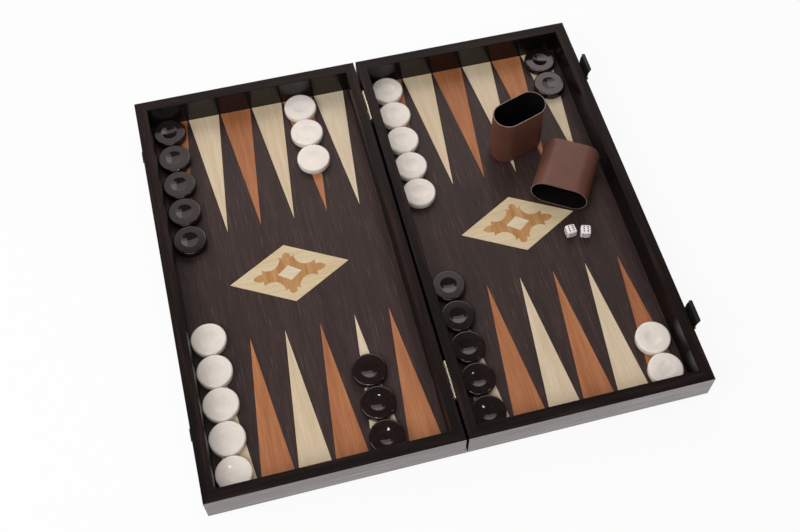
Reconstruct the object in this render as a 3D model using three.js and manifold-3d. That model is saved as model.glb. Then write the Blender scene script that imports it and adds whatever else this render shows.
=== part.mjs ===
// Folding backgammon board with its checkers, dice and dice cups.
// Millimetres, +Z up. The origin lies on the table below the middle of the hinge line:
// +X points to the half that carries the latches, +Y to the far side of the table.

import * as THREE from 'three';
import { mergeVertices } from 'three/addons/utils/BufferGeometryUtils.js';
import { RoundedBoxGeometry } from 'three/addons/geometries/RoundedBoxGeometry.js';
import Module from 'manifold-3d';

// Playing field
const POINTS_PER_ROW = 6;
const POINT_PITCH = 36.25;
const POINT_BASE = 34.25;
const POINT_LENGTH = 159.5;
const TIP_GAP = 131; // from the tip of a point to the tip of the one facing it
const SIDE_MARGIN = 4.5; // bare field beside the first and the last point
const DIAMOND_WIDTH = 126.5;
const DIAMOND_DEPTH = 70;
const INLAY_LINE = 0.3; // dark line round each inlay

// Case: two trays of mitred walls, each closed below by a panel in a rebate
const TRAY_DEPTH = 30;
const WALL = 12.5;
const HINGE_WALL = 11;
const PANEL = 3.5;
const VENEER = 1;
const REBATE = 6;
const EASED_EDGE = 0.8;
const GLUE_LINE = 0.2;
const SEAT = 0.3; // clearance of a piece laid in or on another
const FOLD_GAP = 2.6; // between the halves when the board lies open
const FOLD_LIFT = 0.2; // hinge axis above the rims, so that they shut just clear of each other

// Hinges
const HINGE_LENGTH = 41;
const HINGE_FROM_END = 64; // from the board's end to a hinge's middle
const LEAF = 1;
const LEAF_HEIGHT = 10;
const HINGE_PIN = 1.2;
const KNUCKLE_WALL = 0.55;
const KNUCKLE_GAP = 0.3; // end play between knuckles
const RUNNING_CLEARANCE = 0.05; // between a pin and its bore, on the radius
const ROD_SIDES = 12; // of pins, bores and knuckles

// Latches and their keepers
const LATCH_FROM_END = 71.5; // from the board's end to a latch's middle
const LATCH_WIDTH = 25;
const LATCH_DROP = 6; // pivot below the rim
const LATCH_SHEET = 1.2;
const LATCH_BASE_HEIGHT = 16;
const LATCH_BARREL = 3.4;
const LATCH_PIN = 1.6;
const LATCH_TONGUE = 13.4; // width of the lever where it turns between the ears
const LATCH_CLEARANCE = 0.4;
const LATCH_LIP = 3;
const LATCH_LIP_ANGLE = 20;
const LATCH_OPEN_ANGLE = 5; // the lever leans out this far while the board is in use
const KEEPER_WIDTH = 12;
const KEEPER_SHEET = 0.8;
const KEEPER_REACH = 1.3; // how far the keeper's nose stands out from the wall
const KEEPER_NOSE = 2;
const KEEPER_DROP = 7; // from the rim to the far edge of the nose
const KEEPER_MARGIN = 1.6; // from the rim to the near edge of the plate
const CATCH_BITE = 0.7; // how far the lever's bead reaches behind the nose
const CATCH_PLAY = 0.8;
const CATCH_BEAD = 1.4;

// Checkers
const CHECKER_DIAMETER = 36;
const CHECKER_THICKNESS = 8.5;
const CHECKER_EDGE = 3;
const DISH_DIAMETER = 19;
const DISH_DEPTH = 1.1;
const DISH_CURVE = 0.75; // share of the dish's depth that is reached halfway in from its edge
const CHECKER_SPACING = 0.5; // to the next checker and to the wall
const CHECKER_SIDES = 18;

// Dice and cups
const DIE_SIZE = 11;
const DIE_EDGE = 1.4;
const DIE_EDGE_STEPS = 2;
const CUP_LENGTH = 63;
const CUP_WIDTH = 33.5;
const CUP_HEIGHT = 64;
const CUP_SKIN = 2;
const CUP_FLOOR = 2.5;
const CUP_END_STEPS = 8; // flat facets in each half-round end

// Where the loose pieces lie on the right half: from the outer wall and from the middle of the
// field, turned about the vertical in degrees
const STANDING_CUP = { fromWall: 85.8, fromMiddle: 101, turn: 18 };
const LYING_CUP = { fromWall: 30.8, fromMiddle: 66, turn: 58 };
const DICE = [
  { fromWall: 62.9, fromMiddle: -27.2, turn: 2.7 },
  { fromWall: 47.5, fromMiddle: -31.7, turn: -16.5 },
];

// Sizes that follow from the ones above
const FIELD_WIDTH = POINTS_PER_ROW * POINT_PITCH + 2 * SIDE_MARGIN;
const FIELD_DEPTH = 2 * POINT_LENGTH + TIP_GAP;
const FIELD_Z = PANEL + VENEER;
const RIM_Z = FIELD_Z + TRAY_DEPTH;
const HALF_WIDTH = HINGE_WALL + FIELD_WIDTH + WALL;
const BOARD_DEPTH = FIELD_DEPTH + 2 * WALL;
const HINGE_FACE = FOLD_GAP / 2;
const OUTER_FACE = HINGE_FACE + HALF_WIDTH;
const FIELD_NEAR = HINGE_FACE + HINGE_WALL; // the field's edge at the hinge wall
const FIELD_FAR = OUTER_FACE - WALL; // the field's edge at the outer wall
const FIELD_MIDDLE = (FIELD_NEAR + FIELD_FAR) / 2;
const LEVER_FACE = KEEPER_REACH + KEEPER_SHEET; // inner face of a shut lever, from the wall
const LATCH_AXIS = LEVER_FACE + LATCH_SHEET / 2; // pivot, from the wall

const RIGHT = 1;
const LEFT = -1;
const BACK = 1;
const FRONT = -1;

const wasm = await Module();
wasm.setup();

// Finishes
const finish = (color, roughness, metalness = 0) =>
  new THREE.MeshStandardMaterial({ color, roughness, metalness });
const wenge = () => finish(0x2a1d19, 0.35);
const wengeVeneer = () => finish(0x3b2f2b, 0.5);
const inlayWood = () => finish(0xc9b28f, 0.5);
const brass = () => finish(0xc9ae6a, 0.35, 1);
const blackMetal = () => finish(0x17171a, 0.45, 0.8);
const blackPlastic = () => finish(0x120d0d, 0.15);
const whitePlastic = () => finish(0xe6dedb, 0.2);
const cupLeather = () => finish(0x5a3329, 0.55);

// Boolean operations on closed geometries
function toManifold(geometry) {
  const bare = geometry.clone();
  bare.deleteAttribute('normal');
  bare.deleteAttribute('uv');
  const merged = mergeVertices(bare);
  const vertProperties = new Float32Array(merged.getAttribute('position').array);
  const triVerts = new Uint32Array(merged.getIndex().array);
  return new wasm.Manifold(new wasm.Mesh({ numProp: 3, vertProperties, triVerts }));
}

function toGeometry(manifold) {
  const { vertProperties, triVerts } = manifold.getMesh();
  const geometry = new THREE.BufferGeometry();
  geometry.setAttribute('position', new THREE.BufferAttribute(vertProperties, 3));
  geometry.setIndex(new THREE.BufferAttribute(triVerts, 1));
  return geometry;
}

function shaped(base, { add = [], cut = [] }) {
  let body = toManifold(base);
  for (const geometry of add) body = body.add(toManifold(geometry));
  for (const geometry of cut) body = body.subtract(toManifold(geometry));
  return toGeometry(body);
}

// Simple closed geometries
function box([x0, x1], [y0, y1], [z0, z1]) {
  const geometry = new THREE.BoxGeometry(x1 - x0, y1 - y0, z1 - z0);
  return geometry.translate((x0 + x1) / 2, (y0 + y1) / 2, (z0 + z1) / 2);
}

function rod(diameter, [y0, y1]) {
  const geometry = new THREE.CylinderGeometry(diameter / 2, diameter / 2, y1 - y0, ROD_SIDES);
  return geometry.translate(0, (y0 + y1) / 2, 0);
}

function polygon(points) {
  return new THREE.Shape(points.map(([x, y]) => new THREE.Vector2(x, y)));
}

function prism(shape, [z0, z1]) {
  const options = { depth: z1 - z0, bevelEnabled: false, curveSegments: CUP_END_STEPS };
  const geometry = new THREE.ExtrudeGeometry(shape, options);
  return geometry.translate(0, 0, z0);
}

// A section drawn in X and Z, swept along Y
function sweptAlongY(section, width) {
  const geometry = prism(polygon(section.map(([x, z]) => [x, -z])), [-width / 2, width / 2]);
  return geometry.rotateX(-Math.PI / 2);
}

function piece(name, geometry, material) {
  const mesh = new THREE.Mesh(geometry, material);
  mesh.name = name;
  return mesh;
}

function groupAt(x, y, z, turn = 0) {
  const group = new THREE.Group();
  group.position.set(x, y, z);
  group.rotation.z = THREE.MathUtils.degToRad(turn);
  return group;
}

// Walls
// The section of a wall, from its outer face at X = 0 inwards, with the rebate for the panel
function wallSection(thickness) {
  const rebateX = thickness - REBATE;
  const rebateZ = PANEL + SEAT;
  return polygon([
    [EASED_EDGE, 0],
    [rebateX, 0],
    [rebateX, rebateZ],
    [thickness, rebateZ],
    [thickness, RIM_Z - EASED_EDGE],
    [thickness - EASED_EDGE, RIM_Z],
    [EASED_EDGE, RIM_Z],
    [0, RIM_Z - EASED_EDGE],
    [0, EASED_EDGE],
  ]);
}

// The section swept along the outer edge; each end is cut back to its mitre, which runs from the
// outer corner to the inner one
function mitredWall(length, thickness, startNeighbour, endNeighbour) {
  const geometry = prism(wallSection(thickness), [0, length]);
  const position = geometry.getAttribute('position');
  for (let i = 0; i < position.count; i += 1) {
    const atEnd = position.getZ(i) > length / 2;
    const neighbour = atEnd ? endNeighbour : startNeighbour;
    const cut = GLUE_LINE + position.getX(i) * (neighbour / thickness);
    position.setZ(i, atEnd ? length - cut : cut);
  }
  return geometry;
}

function wall(name, { inward, corner, length, thickness, startNeighbour, endNeighbour }) {
  const geometry = mitredWall(length, thickness, startNeighbour, endNeighbour);
  const mesh = piece(name, geometry, wenge());
  const up = new THREE.Vector3(0, 0, 1);
  const along = new THREE.Vector3().crossVectors(inward, up);
  mesh.quaternion.setFromRotationMatrix(new THREE.Matrix4().makeBasis(inward, up, along));
  mesh.position.copy(corner);
  return mesh;
}

function caseWalls(half, side) {
  const hingeX = side * HINGE_FACE;
  const outerX = side * OUTER_FACE;
  const edgeY = BOARD_DEPTH / 2;
  const leftX = Math.min(hingeX, outerX);
  const rightX = Math.max(hingeX, outerX);
  const leftWall = side === RIGHT ? HINGE_WALL : WALL;
  const rightWall = side === RIGHT ? WALL : HINGE_WALL;
  const corner = (x, y) => new THREE.Vector3(x, y, 0);
  return [
    wall(`${half}_front_wall`, {
      inward: new THREE.Vector3(0, 1, 0), corner: corner(leftX, -edgeY), length: HALF_WIDTH,
      thickness: WALL, startNeighbour: leftWall, endNeighbour: rightWall,
    }),
    wall(`${half}_back_wall`, {
      inward: new THREE.Vector3(0, -1, 0), corner: corner(rightX, edgeY), length: HALF_WIDTH,
      thickness: WALL, startNeighbour: rightWall, endNeighbour: leftWall,
    }),
    wall(`${half}_outer_wall`, {
      inward: new THREE.Vector3(-side, 0, 0), corner: corner(outerX, -side * edgeY),
      length: BOARD_DEPTH, thickness: WALL, startNeighbour: WALL, endNeighbour: WALL,
    }),
    wall(`${half}_hinge_wall`, {
      inward: new THREE.Vector3(side, 0, 0), corner: corner(hingeX, side * edgeY),
      length: BOARD_DEPTH, thickness: HINGE_WALL, startNeighbour: WALL, endNeighbour: WALL,
    }),
  ];
}

// Playing field
// A point from the wall to its tip, grown on its long sides; base is where it starts
function pointOutline(grow, base) {
  const slant = Math.atan2(POINT_BASE / 2, POINT_LENGTH);
  const tip = POINT_LENGTH + grow / Math.sin(slant);
  const halfBase = (tip - base) * Math.tan(slant);
  return polygon([[-halfBase, base], [halfBase, base], [0, tip]]);
}

function diamondOutline(grow) {
  const x = DIAMOND_WIDTH / 2;
  const y = DIAMOND_DEPTH / 2;
  const edge = Math.hypot(x, y);
  const grownX = x + (grow * edge) / y;
  const grownY = y + (grow * edge) / x;
  return polygon([[-grownX, 0], [0, -grownY], [grownX, 0], [0, grownY]]);
}

const pointX = (side, index) =>
  side * FIELD_MIDDLE + (index - (POINTS_PER_ROW - 1) / 2) * POINT_PITCH;

// Every inlay of one half as a prism: two rows of points and the diamond between them
function inlays(side, grow, base, heights) {
  const prisms = [prism(diamondOutline(grow), heights).translate(side * FIELD_MIDDLE, 0, 0)];
  for (const row of [FRONT, BACK]) {
    for (let index = 0; index < POINTS_PER_ROW; index += 1) {
      const point = prism(pointOutline(grow, base), heights);
      point.rotateZ(row === BACK ? Math.PI : 0);
      prisms.push(point.translate(pointX(side, index), (row * FIELD_DEPTH) / 2, 0));
    }
  }
  return prisms;
}

// The panel lies in the rebate of the walls and carries the light inlays, level with the veneer
function basePanel(half, side) {
  const halfWidth = FIELD_WIDTH / 2 + REBATE - SEAT;
  const halfDepth = FIELD_DEPTH / 2 + REBATE - SEAT;
  const middle = side * FIELD_MIDDLE;
  const board = box([middle - halfWidth, middle + halfWidth], [-halfDepth, halfDepth], [0, PANEL]);
  const geometry = shaped(board, { add: inlays(side, 0, SEAT, [PANEL / 2, FIELD_Z]) });
  return piece(`${half}_base_panel`, geometry, inlayWood());
}

// The dark sheet between the inlays
function fieldVeneer(half, side) {
  const halfWidth = FIELD_WIDTH / 2 - SEAT;
  const halfDepth = FIELD_DEPTH / 2 - SEAT;
  const middle = side * FIELD_MIDDLE;
  const sheet = box(
    [middle - halfWidth, middle + halfWidth], [-halfDepth, halfDepth], [PANEL, FIELD_Z],
  );
  const cut = inlays(side, INLAY_LINE, -VENEER, [PANEL - VENEER, FIELD_Z + VENEER]);
  return piece(`${half}_field_veneer`, shaped(sheet, { cut }), wengeVeneer());
}

// Hinges: the right leaf has the two end knuckles, the left leaf the middle one
const KNUCKLE = HINGE_PIN + 2 * (RUNNING_CLEARANCE + KNUCKLE_WALL);
const MIDDLE_KNUCKLE = [-HINGE_LENGTH / 6, HINGE_LENGTH / 6];
const END_KNUCKLES = [
  [-HINGE_LENGTH / 2, MIDDLE_KNUCKLE[0] - KNUCKLE_GAP],
  [MIDDLE_KNUCKLE[1] + KNUCKLE_GAP, HINGE_LENGTH / 2],
];

function hingeLeaf(name, side, ownKnuckles, otherKnuckles) {
  const faces = [side * (HINGE_FACE - LEAF), side * HINGE_FACE].sort((a, b) => a - b);
  const length = [-HINGE_LENGTH / 2, HINGE_LENGTH / 2];
  const plate = box(faces, length, [-LEAF_HEIGHT, 0]);
  const room = KNUCKLE / 2 + KNUCKLE_GAP;
  const gaps = otherKnuckles.map(([y0, y1]) =>
    box([-FOLD_GAP, FOLD_GAP], [y0 - KNUCKLE_GAP, y1 + KNUCKLE_GAP], [-room, room]));
  const barrel = ownKnuckles.map((span) => rod(KNUCKLE, span));
  const bore = rod(HINGE_PIN + 2 * RUNNING_CLEARANCE, [-HINGE_LENGTH, HINGE_LENGTH]);
  const notched = shaped(plate, { cut: gaps });
  return piece(name, shaped(notched, { add: barrel, cut: [bore] }), brass());
}

function hinge(place, y) {
  const group = groupAt(0, y, RIM_Z + FOLD_LIFT);
  const pin = rod(HINGE_PIN, [-HINGE_LENGTH / 2, HINGE_LENGTH / 2]);
  group.add(
    hingeLeaf(`hinge_${place}_right_leaf`, RIGHT, END_KNUCKLES, [MIDDLE_KNUCKLE]),
    hingeLeaf(`hinge_${place}_left_leaf`, LEFT, [MIDDLE_KNUCKLE], END_KNUCKLES),
    piece(`hinge_${place}_pin`, pin, brass()),
  );
  return group;
}

// Latches: a lever turns in the ears of its base and hooks its bead behind the keeper's nose
const EAR_INNER = LATCH_TONGUE / 2 + LATCH_CLEARANCE;
const BEAD_Z = LATCH_DROP + 2 * FOLD_LIFT + KEEPER_DROP + CATCH_PLAY;
const latchBore = () => rod(LATCH_PIN + 2 * RUNNING_CLEARANCE, [-LATCH_WIDTH, LATCH_WIDTH]);

function latchBase(name) {
  const halfWidth = LATCH_WIDTH / 2;
  const radius = LATCH_BARREL / 2;
  const back = -LATCH_AXIS;
  const front = back + LATCH_SHEET;
  const plate = box([back, front], [-halfWidth, halfWidth], [-LATCH_BASE_HEIGHT, 0]);
  const room = radius + LATCH_CLEARANCE;
  const notch = box([back - room, room], [-EAR_INNER, EAR_INNER], [-room, room]);
  const ears = [[-halfWidth, -EAR_INNER], [EAR_INNER, halfWidth]];
  const straps = ears.map((span) => box([back, 0], span, [-radius, 0]));
  const barrels = ears.map((span) => rod(LATCH_BARREL, span));
  const notched = shaped(plate, { cut: [notch] });
  const geometry = shaped(notched, { add: [...straps, ...barrels], cut: [latchBore()] });
  return piece(name, geometry, blackMetal());
}

function latchLever(name) {
  const inner = -LATCH_SHEET / 2;
  const outer = LATCH_SHEET / 2;
  const beadTip = KEEPER_REACH - CATCH_BITE - LATCH_AXIS;
  const lipZ = BEAD_Z + CATCH_BEAD;
  const lean = THREE.MathUtils.degToRad(LATCH_LIP_ANGLE);
  const lipX = LATCH_LIP * Math.sin(lean);
  const topZ = lipZ + LATCH_LIP * Math.cos(lean);
  const section = [
    [inner, 0],
    [outer, 0],
    [outer, lipZ],
    [outer + lipX, topZ],
    [inner + lipX, topZ],
    [inner, lipZ],
    [beadTip, BEAD_Z + CATCH_BEAD / 2],
    [beadTip, BEAD_Z + CATCH_BEAD / 4],
    [inner, BEAD_Z],
  ];
  const halfTongue = LATCH_TONGUE / 2;
  const shoulderZ = LATCH_BARREL / 2 + LATCH_CLEARANCE;
  const shoulder = [-LATCH_SHEET, LATCH_SHEET];
  const below = [-LATCH_BARREL, shoulderZ];
  const cut = [
    box(shoulder, [-LATCH_WIDTH, -halfTongue], below),
    box(shoulder, [halfTongue, LATCH_WIDTH], below),
  ];
  const blade = shaped(sweptAlongY(section, LATCH_WIDTH), { cut });
  const barrel = rod(LATCH_BARREL, [-halfTongue, halfTongue]);
  return piece(name, shaped(blade, { add: [barrel], cut: [latchBore()] }), blackMetal());
}

function latch(place, y) {
  const group = groupAt(OUTER_FACE + LATCH_AXIS, y, RIM_Z - LATCH_DROP);
  const lever = latchLever(`latch_${place}_lever`);
  lever.rotation.y = THREE.MathUtils.degToRad(LATCH_OPEN_ANGLE);
  const pin = rod(LATCH_PIN, [-LATCH_WIDTH / 2, LATCH_WIDTH / 2]);
  group.add(latchBase(`latch_${place}_base`), lever, piece(`latch_${place}_pin`, pin, blackMetal()));
  return group;
}

function keeper(place, y) {
  const noseZ = KEEPER_NOSE - KEEPER_DROP;
  const section = [
    [0, -KEEPER_DROP],
    [0, -KEEPER_MARGIN],
    [-KEEPER_SHEET, -KEEPER_MARGIN],
    [-KEEPER_SHEET, noseZ],
    [-KEEPER_REACH, noseZ],
    [-KEEPER_REACH, -KEEPER_DROP],
  ];
  const mesh = piece(`keeper_${place}`, sweptAlongY(section, KEEPER_WIDTH), blackMetal());
  mesh.position.set(-OUTER_FACE, y, RIM_Z);
  return mesh;
}

// Checkers: turned discs with rounded edges and a shallow dish in both faces
function checkerGeometry() {
  const radius = CHECKER_DIAMETER / 2;
  const top = CHECKER_THICKNESS;
  const dish = DISH_DIAMETER / 2;
  const bevel = CHECKER_EDGE * (1 - Math.SQRT1_2);
  const profile = [
    [0, DISH_DEPTH],
    [dish, 0],
    [radius - CHECKER_EDGE, 0],
    [radius - bevel, bevel],
    [radius, CHECKER_EDGE],
    [radius, top - CHECKER_EDGE],
    [radius - bevel, top - bevel],
    [radius - CHECKER_EDGE, top],
    [dish, top],
    [dish / 2, top - DISH_DEPTH * DISH_CURVE],
    [0, top - DISH_DEPTH],
  ];
  const points = profile.map(([r, z]) => new THREE.Vector2(r, z));
  return new THREE.LatheGeometry(points, CHECKER_SIDES).rotateX(Math.PI / 2);
}

// A column of checkers stands on a point, or is pushed over to the wall beside the first or last
const againstWall = CHECKER_SPACING + CHECKER_DIAMETER / 2;
const outerColumn = (side) => side * (FIELD_FAR - againstWall);
const hingeColumn = (side) => side * (FIELD_NEAR + againstWall);

// The opening position of the game: five, three, five and two on each long side of the board
const STACKS = [
  { count: 5, x: outerColumn(LEFT), back: 'black', front: 'white' },
  { count: 3, x: pointX(LEFT, 4), back: 'white', front: 'black' },
  { count: 5, x: hingeColumn(RIGHT), back: 'white', front: 'black' },
  { count: 2, x: pointX(RIGHT, 5), back: 'black', front: 'white' },
];

function checkers() {
  const geometry = checkerGeometry();
  const materials = { black: blackPlastic, white: whitePlastic };
  const made = { black: 0, white: 0 };
  const meshes = [];
  for (const { count, x, ...colours } of STACKS) {
    for (const [row, colour] of [[BACK, colours.back], [FRONT, colours.front]]) {
      for (let place = 0; place < count; place += 1) {
        made[colour] += 1;
        const number = String(made[colour]).padStart(2, '0');
        const mesh = piece(`${colour}_checker_${number}`, geometry.clone(), materials[colour]());
        const fromWall = againstWall + place * (CHECKER_DIAMETER + CHECKER_SPACING);
        mesh.position.set(x, row * (FIELD_DEPTH / 2 - fromWall), FIELD_Z + SEAT);
        meshes.push(mesh);
      }
    }
  }
  return meshes;
}

// Dice and cups
function dice() {
  const size = DIE_SIZE;
  return DICE.map(({ fromWall, fromMiddle, turn }, index) => {
    const geometry = new RoundedBoxGeometry(size, size, size, DIE_EDGE_STEPS, DIE_EDGE);
    const group = groupAt(FIELD_FAR - fromWall, fromMiddle, FIELD_Z + SEAT + size / 2, turn);
    group.add(piece(`die_${index + 1}`, geometry, whitePlastic()));
    return group;
  });
}

function stadium(length, width) {
  const radius = width / 2;
  const straight = (length - width) / 2;
  const shape = new THREE.Shape();
  shape.absarc(straight, 0, radius, -Math.PI / 2, Math.PI / 2, false);
  shape.absarc(-straight, 0, radius, Math.PI / 2, (3 * Math.PI) / 2, false);
  return shape;
}

// An oval cup standing on its floor
function cup(name) {
  const outside = prism(stadium(CUP_LENGTH, CUP_WIDTH), [0, CUP_HEIGHT]);
  const inner = stadium(CUP_LENGTH - 2 * CUP_SKIN, CUP_WIDTH - 2 * CUP_SKIN);
  const inside = prism(inner, [CUP_FLOOR, CUP_HEIGHT + CUP_FLOOR]);
  return piece(name, shaped(outside, { cut: [inside] }), cupLeather());
}

function standingCup() {
  const { fromWall, fromMiddle, turn } = STANDING_CUP;
  const group = groupAt(FIELD_FAR - fromWall, fromMiddle, FIELD_Z + SEAT, turn);
  group.add(cup('dice_cup_standing'));
  return group;
}

// The other cup lies on its flat side, its mouth towards the front
function lyingCup() {
  const { fromWall, fromMiddle, turn } = LYING_CUP;
  const lying = cup('dice_cup_lying');
  lying.rotation.set(-Math.PI / 2, 0, 0);
  lying.rotateY(Math.PI);
  const height = FIELD_Z + SEAT + CUP_WIDTH / 2;
  const group = groupAt(FIELD_FAR - fromWall, fromMiddle, height, turn - 90);
  group.add(lying);
  return group;
}

function board() {
  const group = new THREE.Group();
  for (const [half, side] of [['left', LEFT], ['right', RIGHT]]) {
    group.add(...caseWalls(half, side), basePanel(half, side), fieldVeneer(half, side));
  }
  for (const [place, row] of [['back', BACK], ['front', FRONT]]) {
    const hingeY = row * (BOARD_DEPTH / 2 - HINGE_FROM_END);
    const latchY = row * (BOARD_DEPTH / 2 - LATCH_FROM_END);
    group.add(hinge(place, hingeY), latch(place, latchY), keeper(place, latchY));
  }
  group.add(...checkers(), ...dice(), standingCup(), lyingCup());
  return group;
}

export default board();
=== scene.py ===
"""Dresses a folding backgammon board: case, inlaid field, hardware, checkers, dice and cups.

Sizes are in millimetres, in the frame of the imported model, and meshes are scaled to metres as they
are made.
"""

from __future__ import annotations

import logging
import math
from dataclasses import dataclass
from enum import Enum, IntEnum
from functools import cache
from typing import Iterable, Sequence

import bmesh
import bpy
from mathutils import Matrix, Vector

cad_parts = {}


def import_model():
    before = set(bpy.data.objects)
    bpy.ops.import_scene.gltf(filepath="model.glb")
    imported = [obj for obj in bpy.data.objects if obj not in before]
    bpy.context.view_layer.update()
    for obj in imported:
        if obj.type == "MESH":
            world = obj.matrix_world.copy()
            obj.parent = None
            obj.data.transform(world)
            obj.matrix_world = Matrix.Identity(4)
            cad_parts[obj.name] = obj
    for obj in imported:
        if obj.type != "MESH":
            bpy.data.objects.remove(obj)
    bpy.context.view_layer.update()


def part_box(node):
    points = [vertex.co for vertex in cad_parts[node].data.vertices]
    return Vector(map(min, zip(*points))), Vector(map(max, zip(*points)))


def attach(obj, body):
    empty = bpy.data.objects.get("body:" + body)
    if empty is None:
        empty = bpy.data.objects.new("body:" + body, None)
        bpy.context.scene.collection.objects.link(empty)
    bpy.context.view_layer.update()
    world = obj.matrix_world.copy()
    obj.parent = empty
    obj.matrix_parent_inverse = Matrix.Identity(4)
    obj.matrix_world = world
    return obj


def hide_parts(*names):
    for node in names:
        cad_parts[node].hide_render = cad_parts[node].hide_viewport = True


LOG = logging.getLogger("backgammon_board")

MM = 0.001
UP = Vector((0.0, 0.0, 1.0))
RIGHT_HALF = "right_half"
LEFT_HALF = "left_half"
SHARP_ANGLE = math.radians(35.0)
MERGE_MM = 0.001
ROD_SIDES = 28
CORNER_STEPS = 5
LEAST_CORNER = 0.05


class Axis(Enum):
    """A direction: of grain, of drawing lines, or of a plate's thickness."""

    X = 0
    Y = 1
    Z = 2


class Side(Enum):
    """The two halves of the board, by the sign of their X."""

    LEFT = -1
    RIGHT = 1

    @property
    def word(self) -> str:
        """The word that the names of this half's pieces start with."""
        return self.name.lower()

    @property
    def body(self) -> str:
        """The moving body that this half is."""
        return LEFT_HALF if self is Side.LEFT else RIGHT_HALF


# Colours and nodes


def linear(hex_colour: str) -> tuple[float, float, float, float]:
    """Turns an sRGB colour into linear light.

    Args:
        hex_colour: Six hexadecimal digits.

    Returns:
        Red, green, blue and alpha, linear, from 0 to 1.
    """
    channels = []
    for start in (0, 2, 4):
        value = int(hex_colour[start : start + 2], 16) / 255.0
        channels.append(value / 12.92 if value <= 0.04045 else ((value + 0.055) / 1.055) ** 2.4)
    return channels[0], channels[1], channels[2], 1.0


def feed(tree: bpy.types.NodeTree, node: bpy.types.Node, inputs: dict[str | int, object]) -> None:
    """Sets the inputs of a node.

    Args:
        tree: The node's tree.
        node: The node.
        inputs: Input name or number to a value, or to what feeds it: a socket, or a node for its
            first output.
    """
    for key, value in inputs.items():
        if isinstance(value, bpy.types.Node):
            value = value.outputs[0]
        if isinstance(value, bpy.types.NodeSocket):
            tree.links.new(value, node.inputs[key])
        else:
            node.inputs[key].default_value = value


def add_node(
    tree: bpy.types.NodeTree,
    kind: str,
    inputs: dict[str | int, object] | None = None,
    stops: Sequence[tuple[float, str]] = (),
    **settings: object,
) -> bpy.types.Node:
    """Adds one node with its settings, values and links.

    Args:
        tree: The tree that gets the node.
        kind: The node's type name.
        inputs: What its inputs get, as in feed.
        stops: Colour stops of a ramp, as pairs of position and sRGB hex colour.
        settings: Properties of the node itself.

    Returns:
        The new node.
    """
    node = tree.nodes.new(kind)
    for name, value in settings.items():
        setattr(node, name, value)
    if stops:
        elements = node.color_ramp.elements
        while len(elements) < len(stops):
            elements.new(1.0)
        for element, (position, colour) in zip(elements, stops):
            element.position = position
            element.color = linear(colour)
    feed(tree, node, inputs or {})
    return node


def bare_material(name: str) -> tuple[bpy.types.Material, bpy.types.NodeTree]:
    """Starts a material without nodes.

    Args:
        name: The material's name.

    Returns:
        The material and its tree.
    """
    material = bpy.data.materials.new(name)
    material.use_nodes = True
    material.node_tree.nodes.clear()
    return material, material.node_tree


def new_material(name: str) -> tuple[bpy.types.Material, bpy.types.NodeTree, bpy.types.Node]:
    """Starts a material with only a shader and an output.

    Args:
        name: The material's name.

    Returns:
        The material, its tree and its Principled shader.
    """
    material, tree = bare_material(name)
    shader = add_node(tree, "ShaderNodeBsdfPrincipled")
    add_node(tree, "ShaderNodeOutputMaterial", {"Surface": shader})
    return material, tree, shader


def drawn_out(
    tree: bpy.types.NodeTree,
    vector: bpy.types.NodeSocket | bpy.types.Node,
    axis: Axis,
    size_mm: tuple[float, float],
    inputs: dict[str | int, object],
) -> bpy.types.Node:
    """Adds noise drawn out along an axis.

    Args:
        tree: The material's tree.
        vector: Coordinates in metres.
        axis: The direction in which it is drawn out, X or Y.
        size_mm: Length along that direction and spacing across it.
        inputs: The noise's other inputs.

    Returns:
        The noise, from 0 to 1.
    """
    along, across = (1.0 / (MM * size) for size in size_mm)
    scale = (along, across, across) if axis is Axis.X else (across, along, across)
    mapping = add_node(tree, "ShaderNodeMapping", {"Vector": vector, "Scale": scale})
    return add_node(tree, "ShaderNodeTexNoise", {"Vector": mapping, "Scale": 1.0} | inputs)


# Finishes

DIELECTRIC_IOR = 1.5


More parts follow.
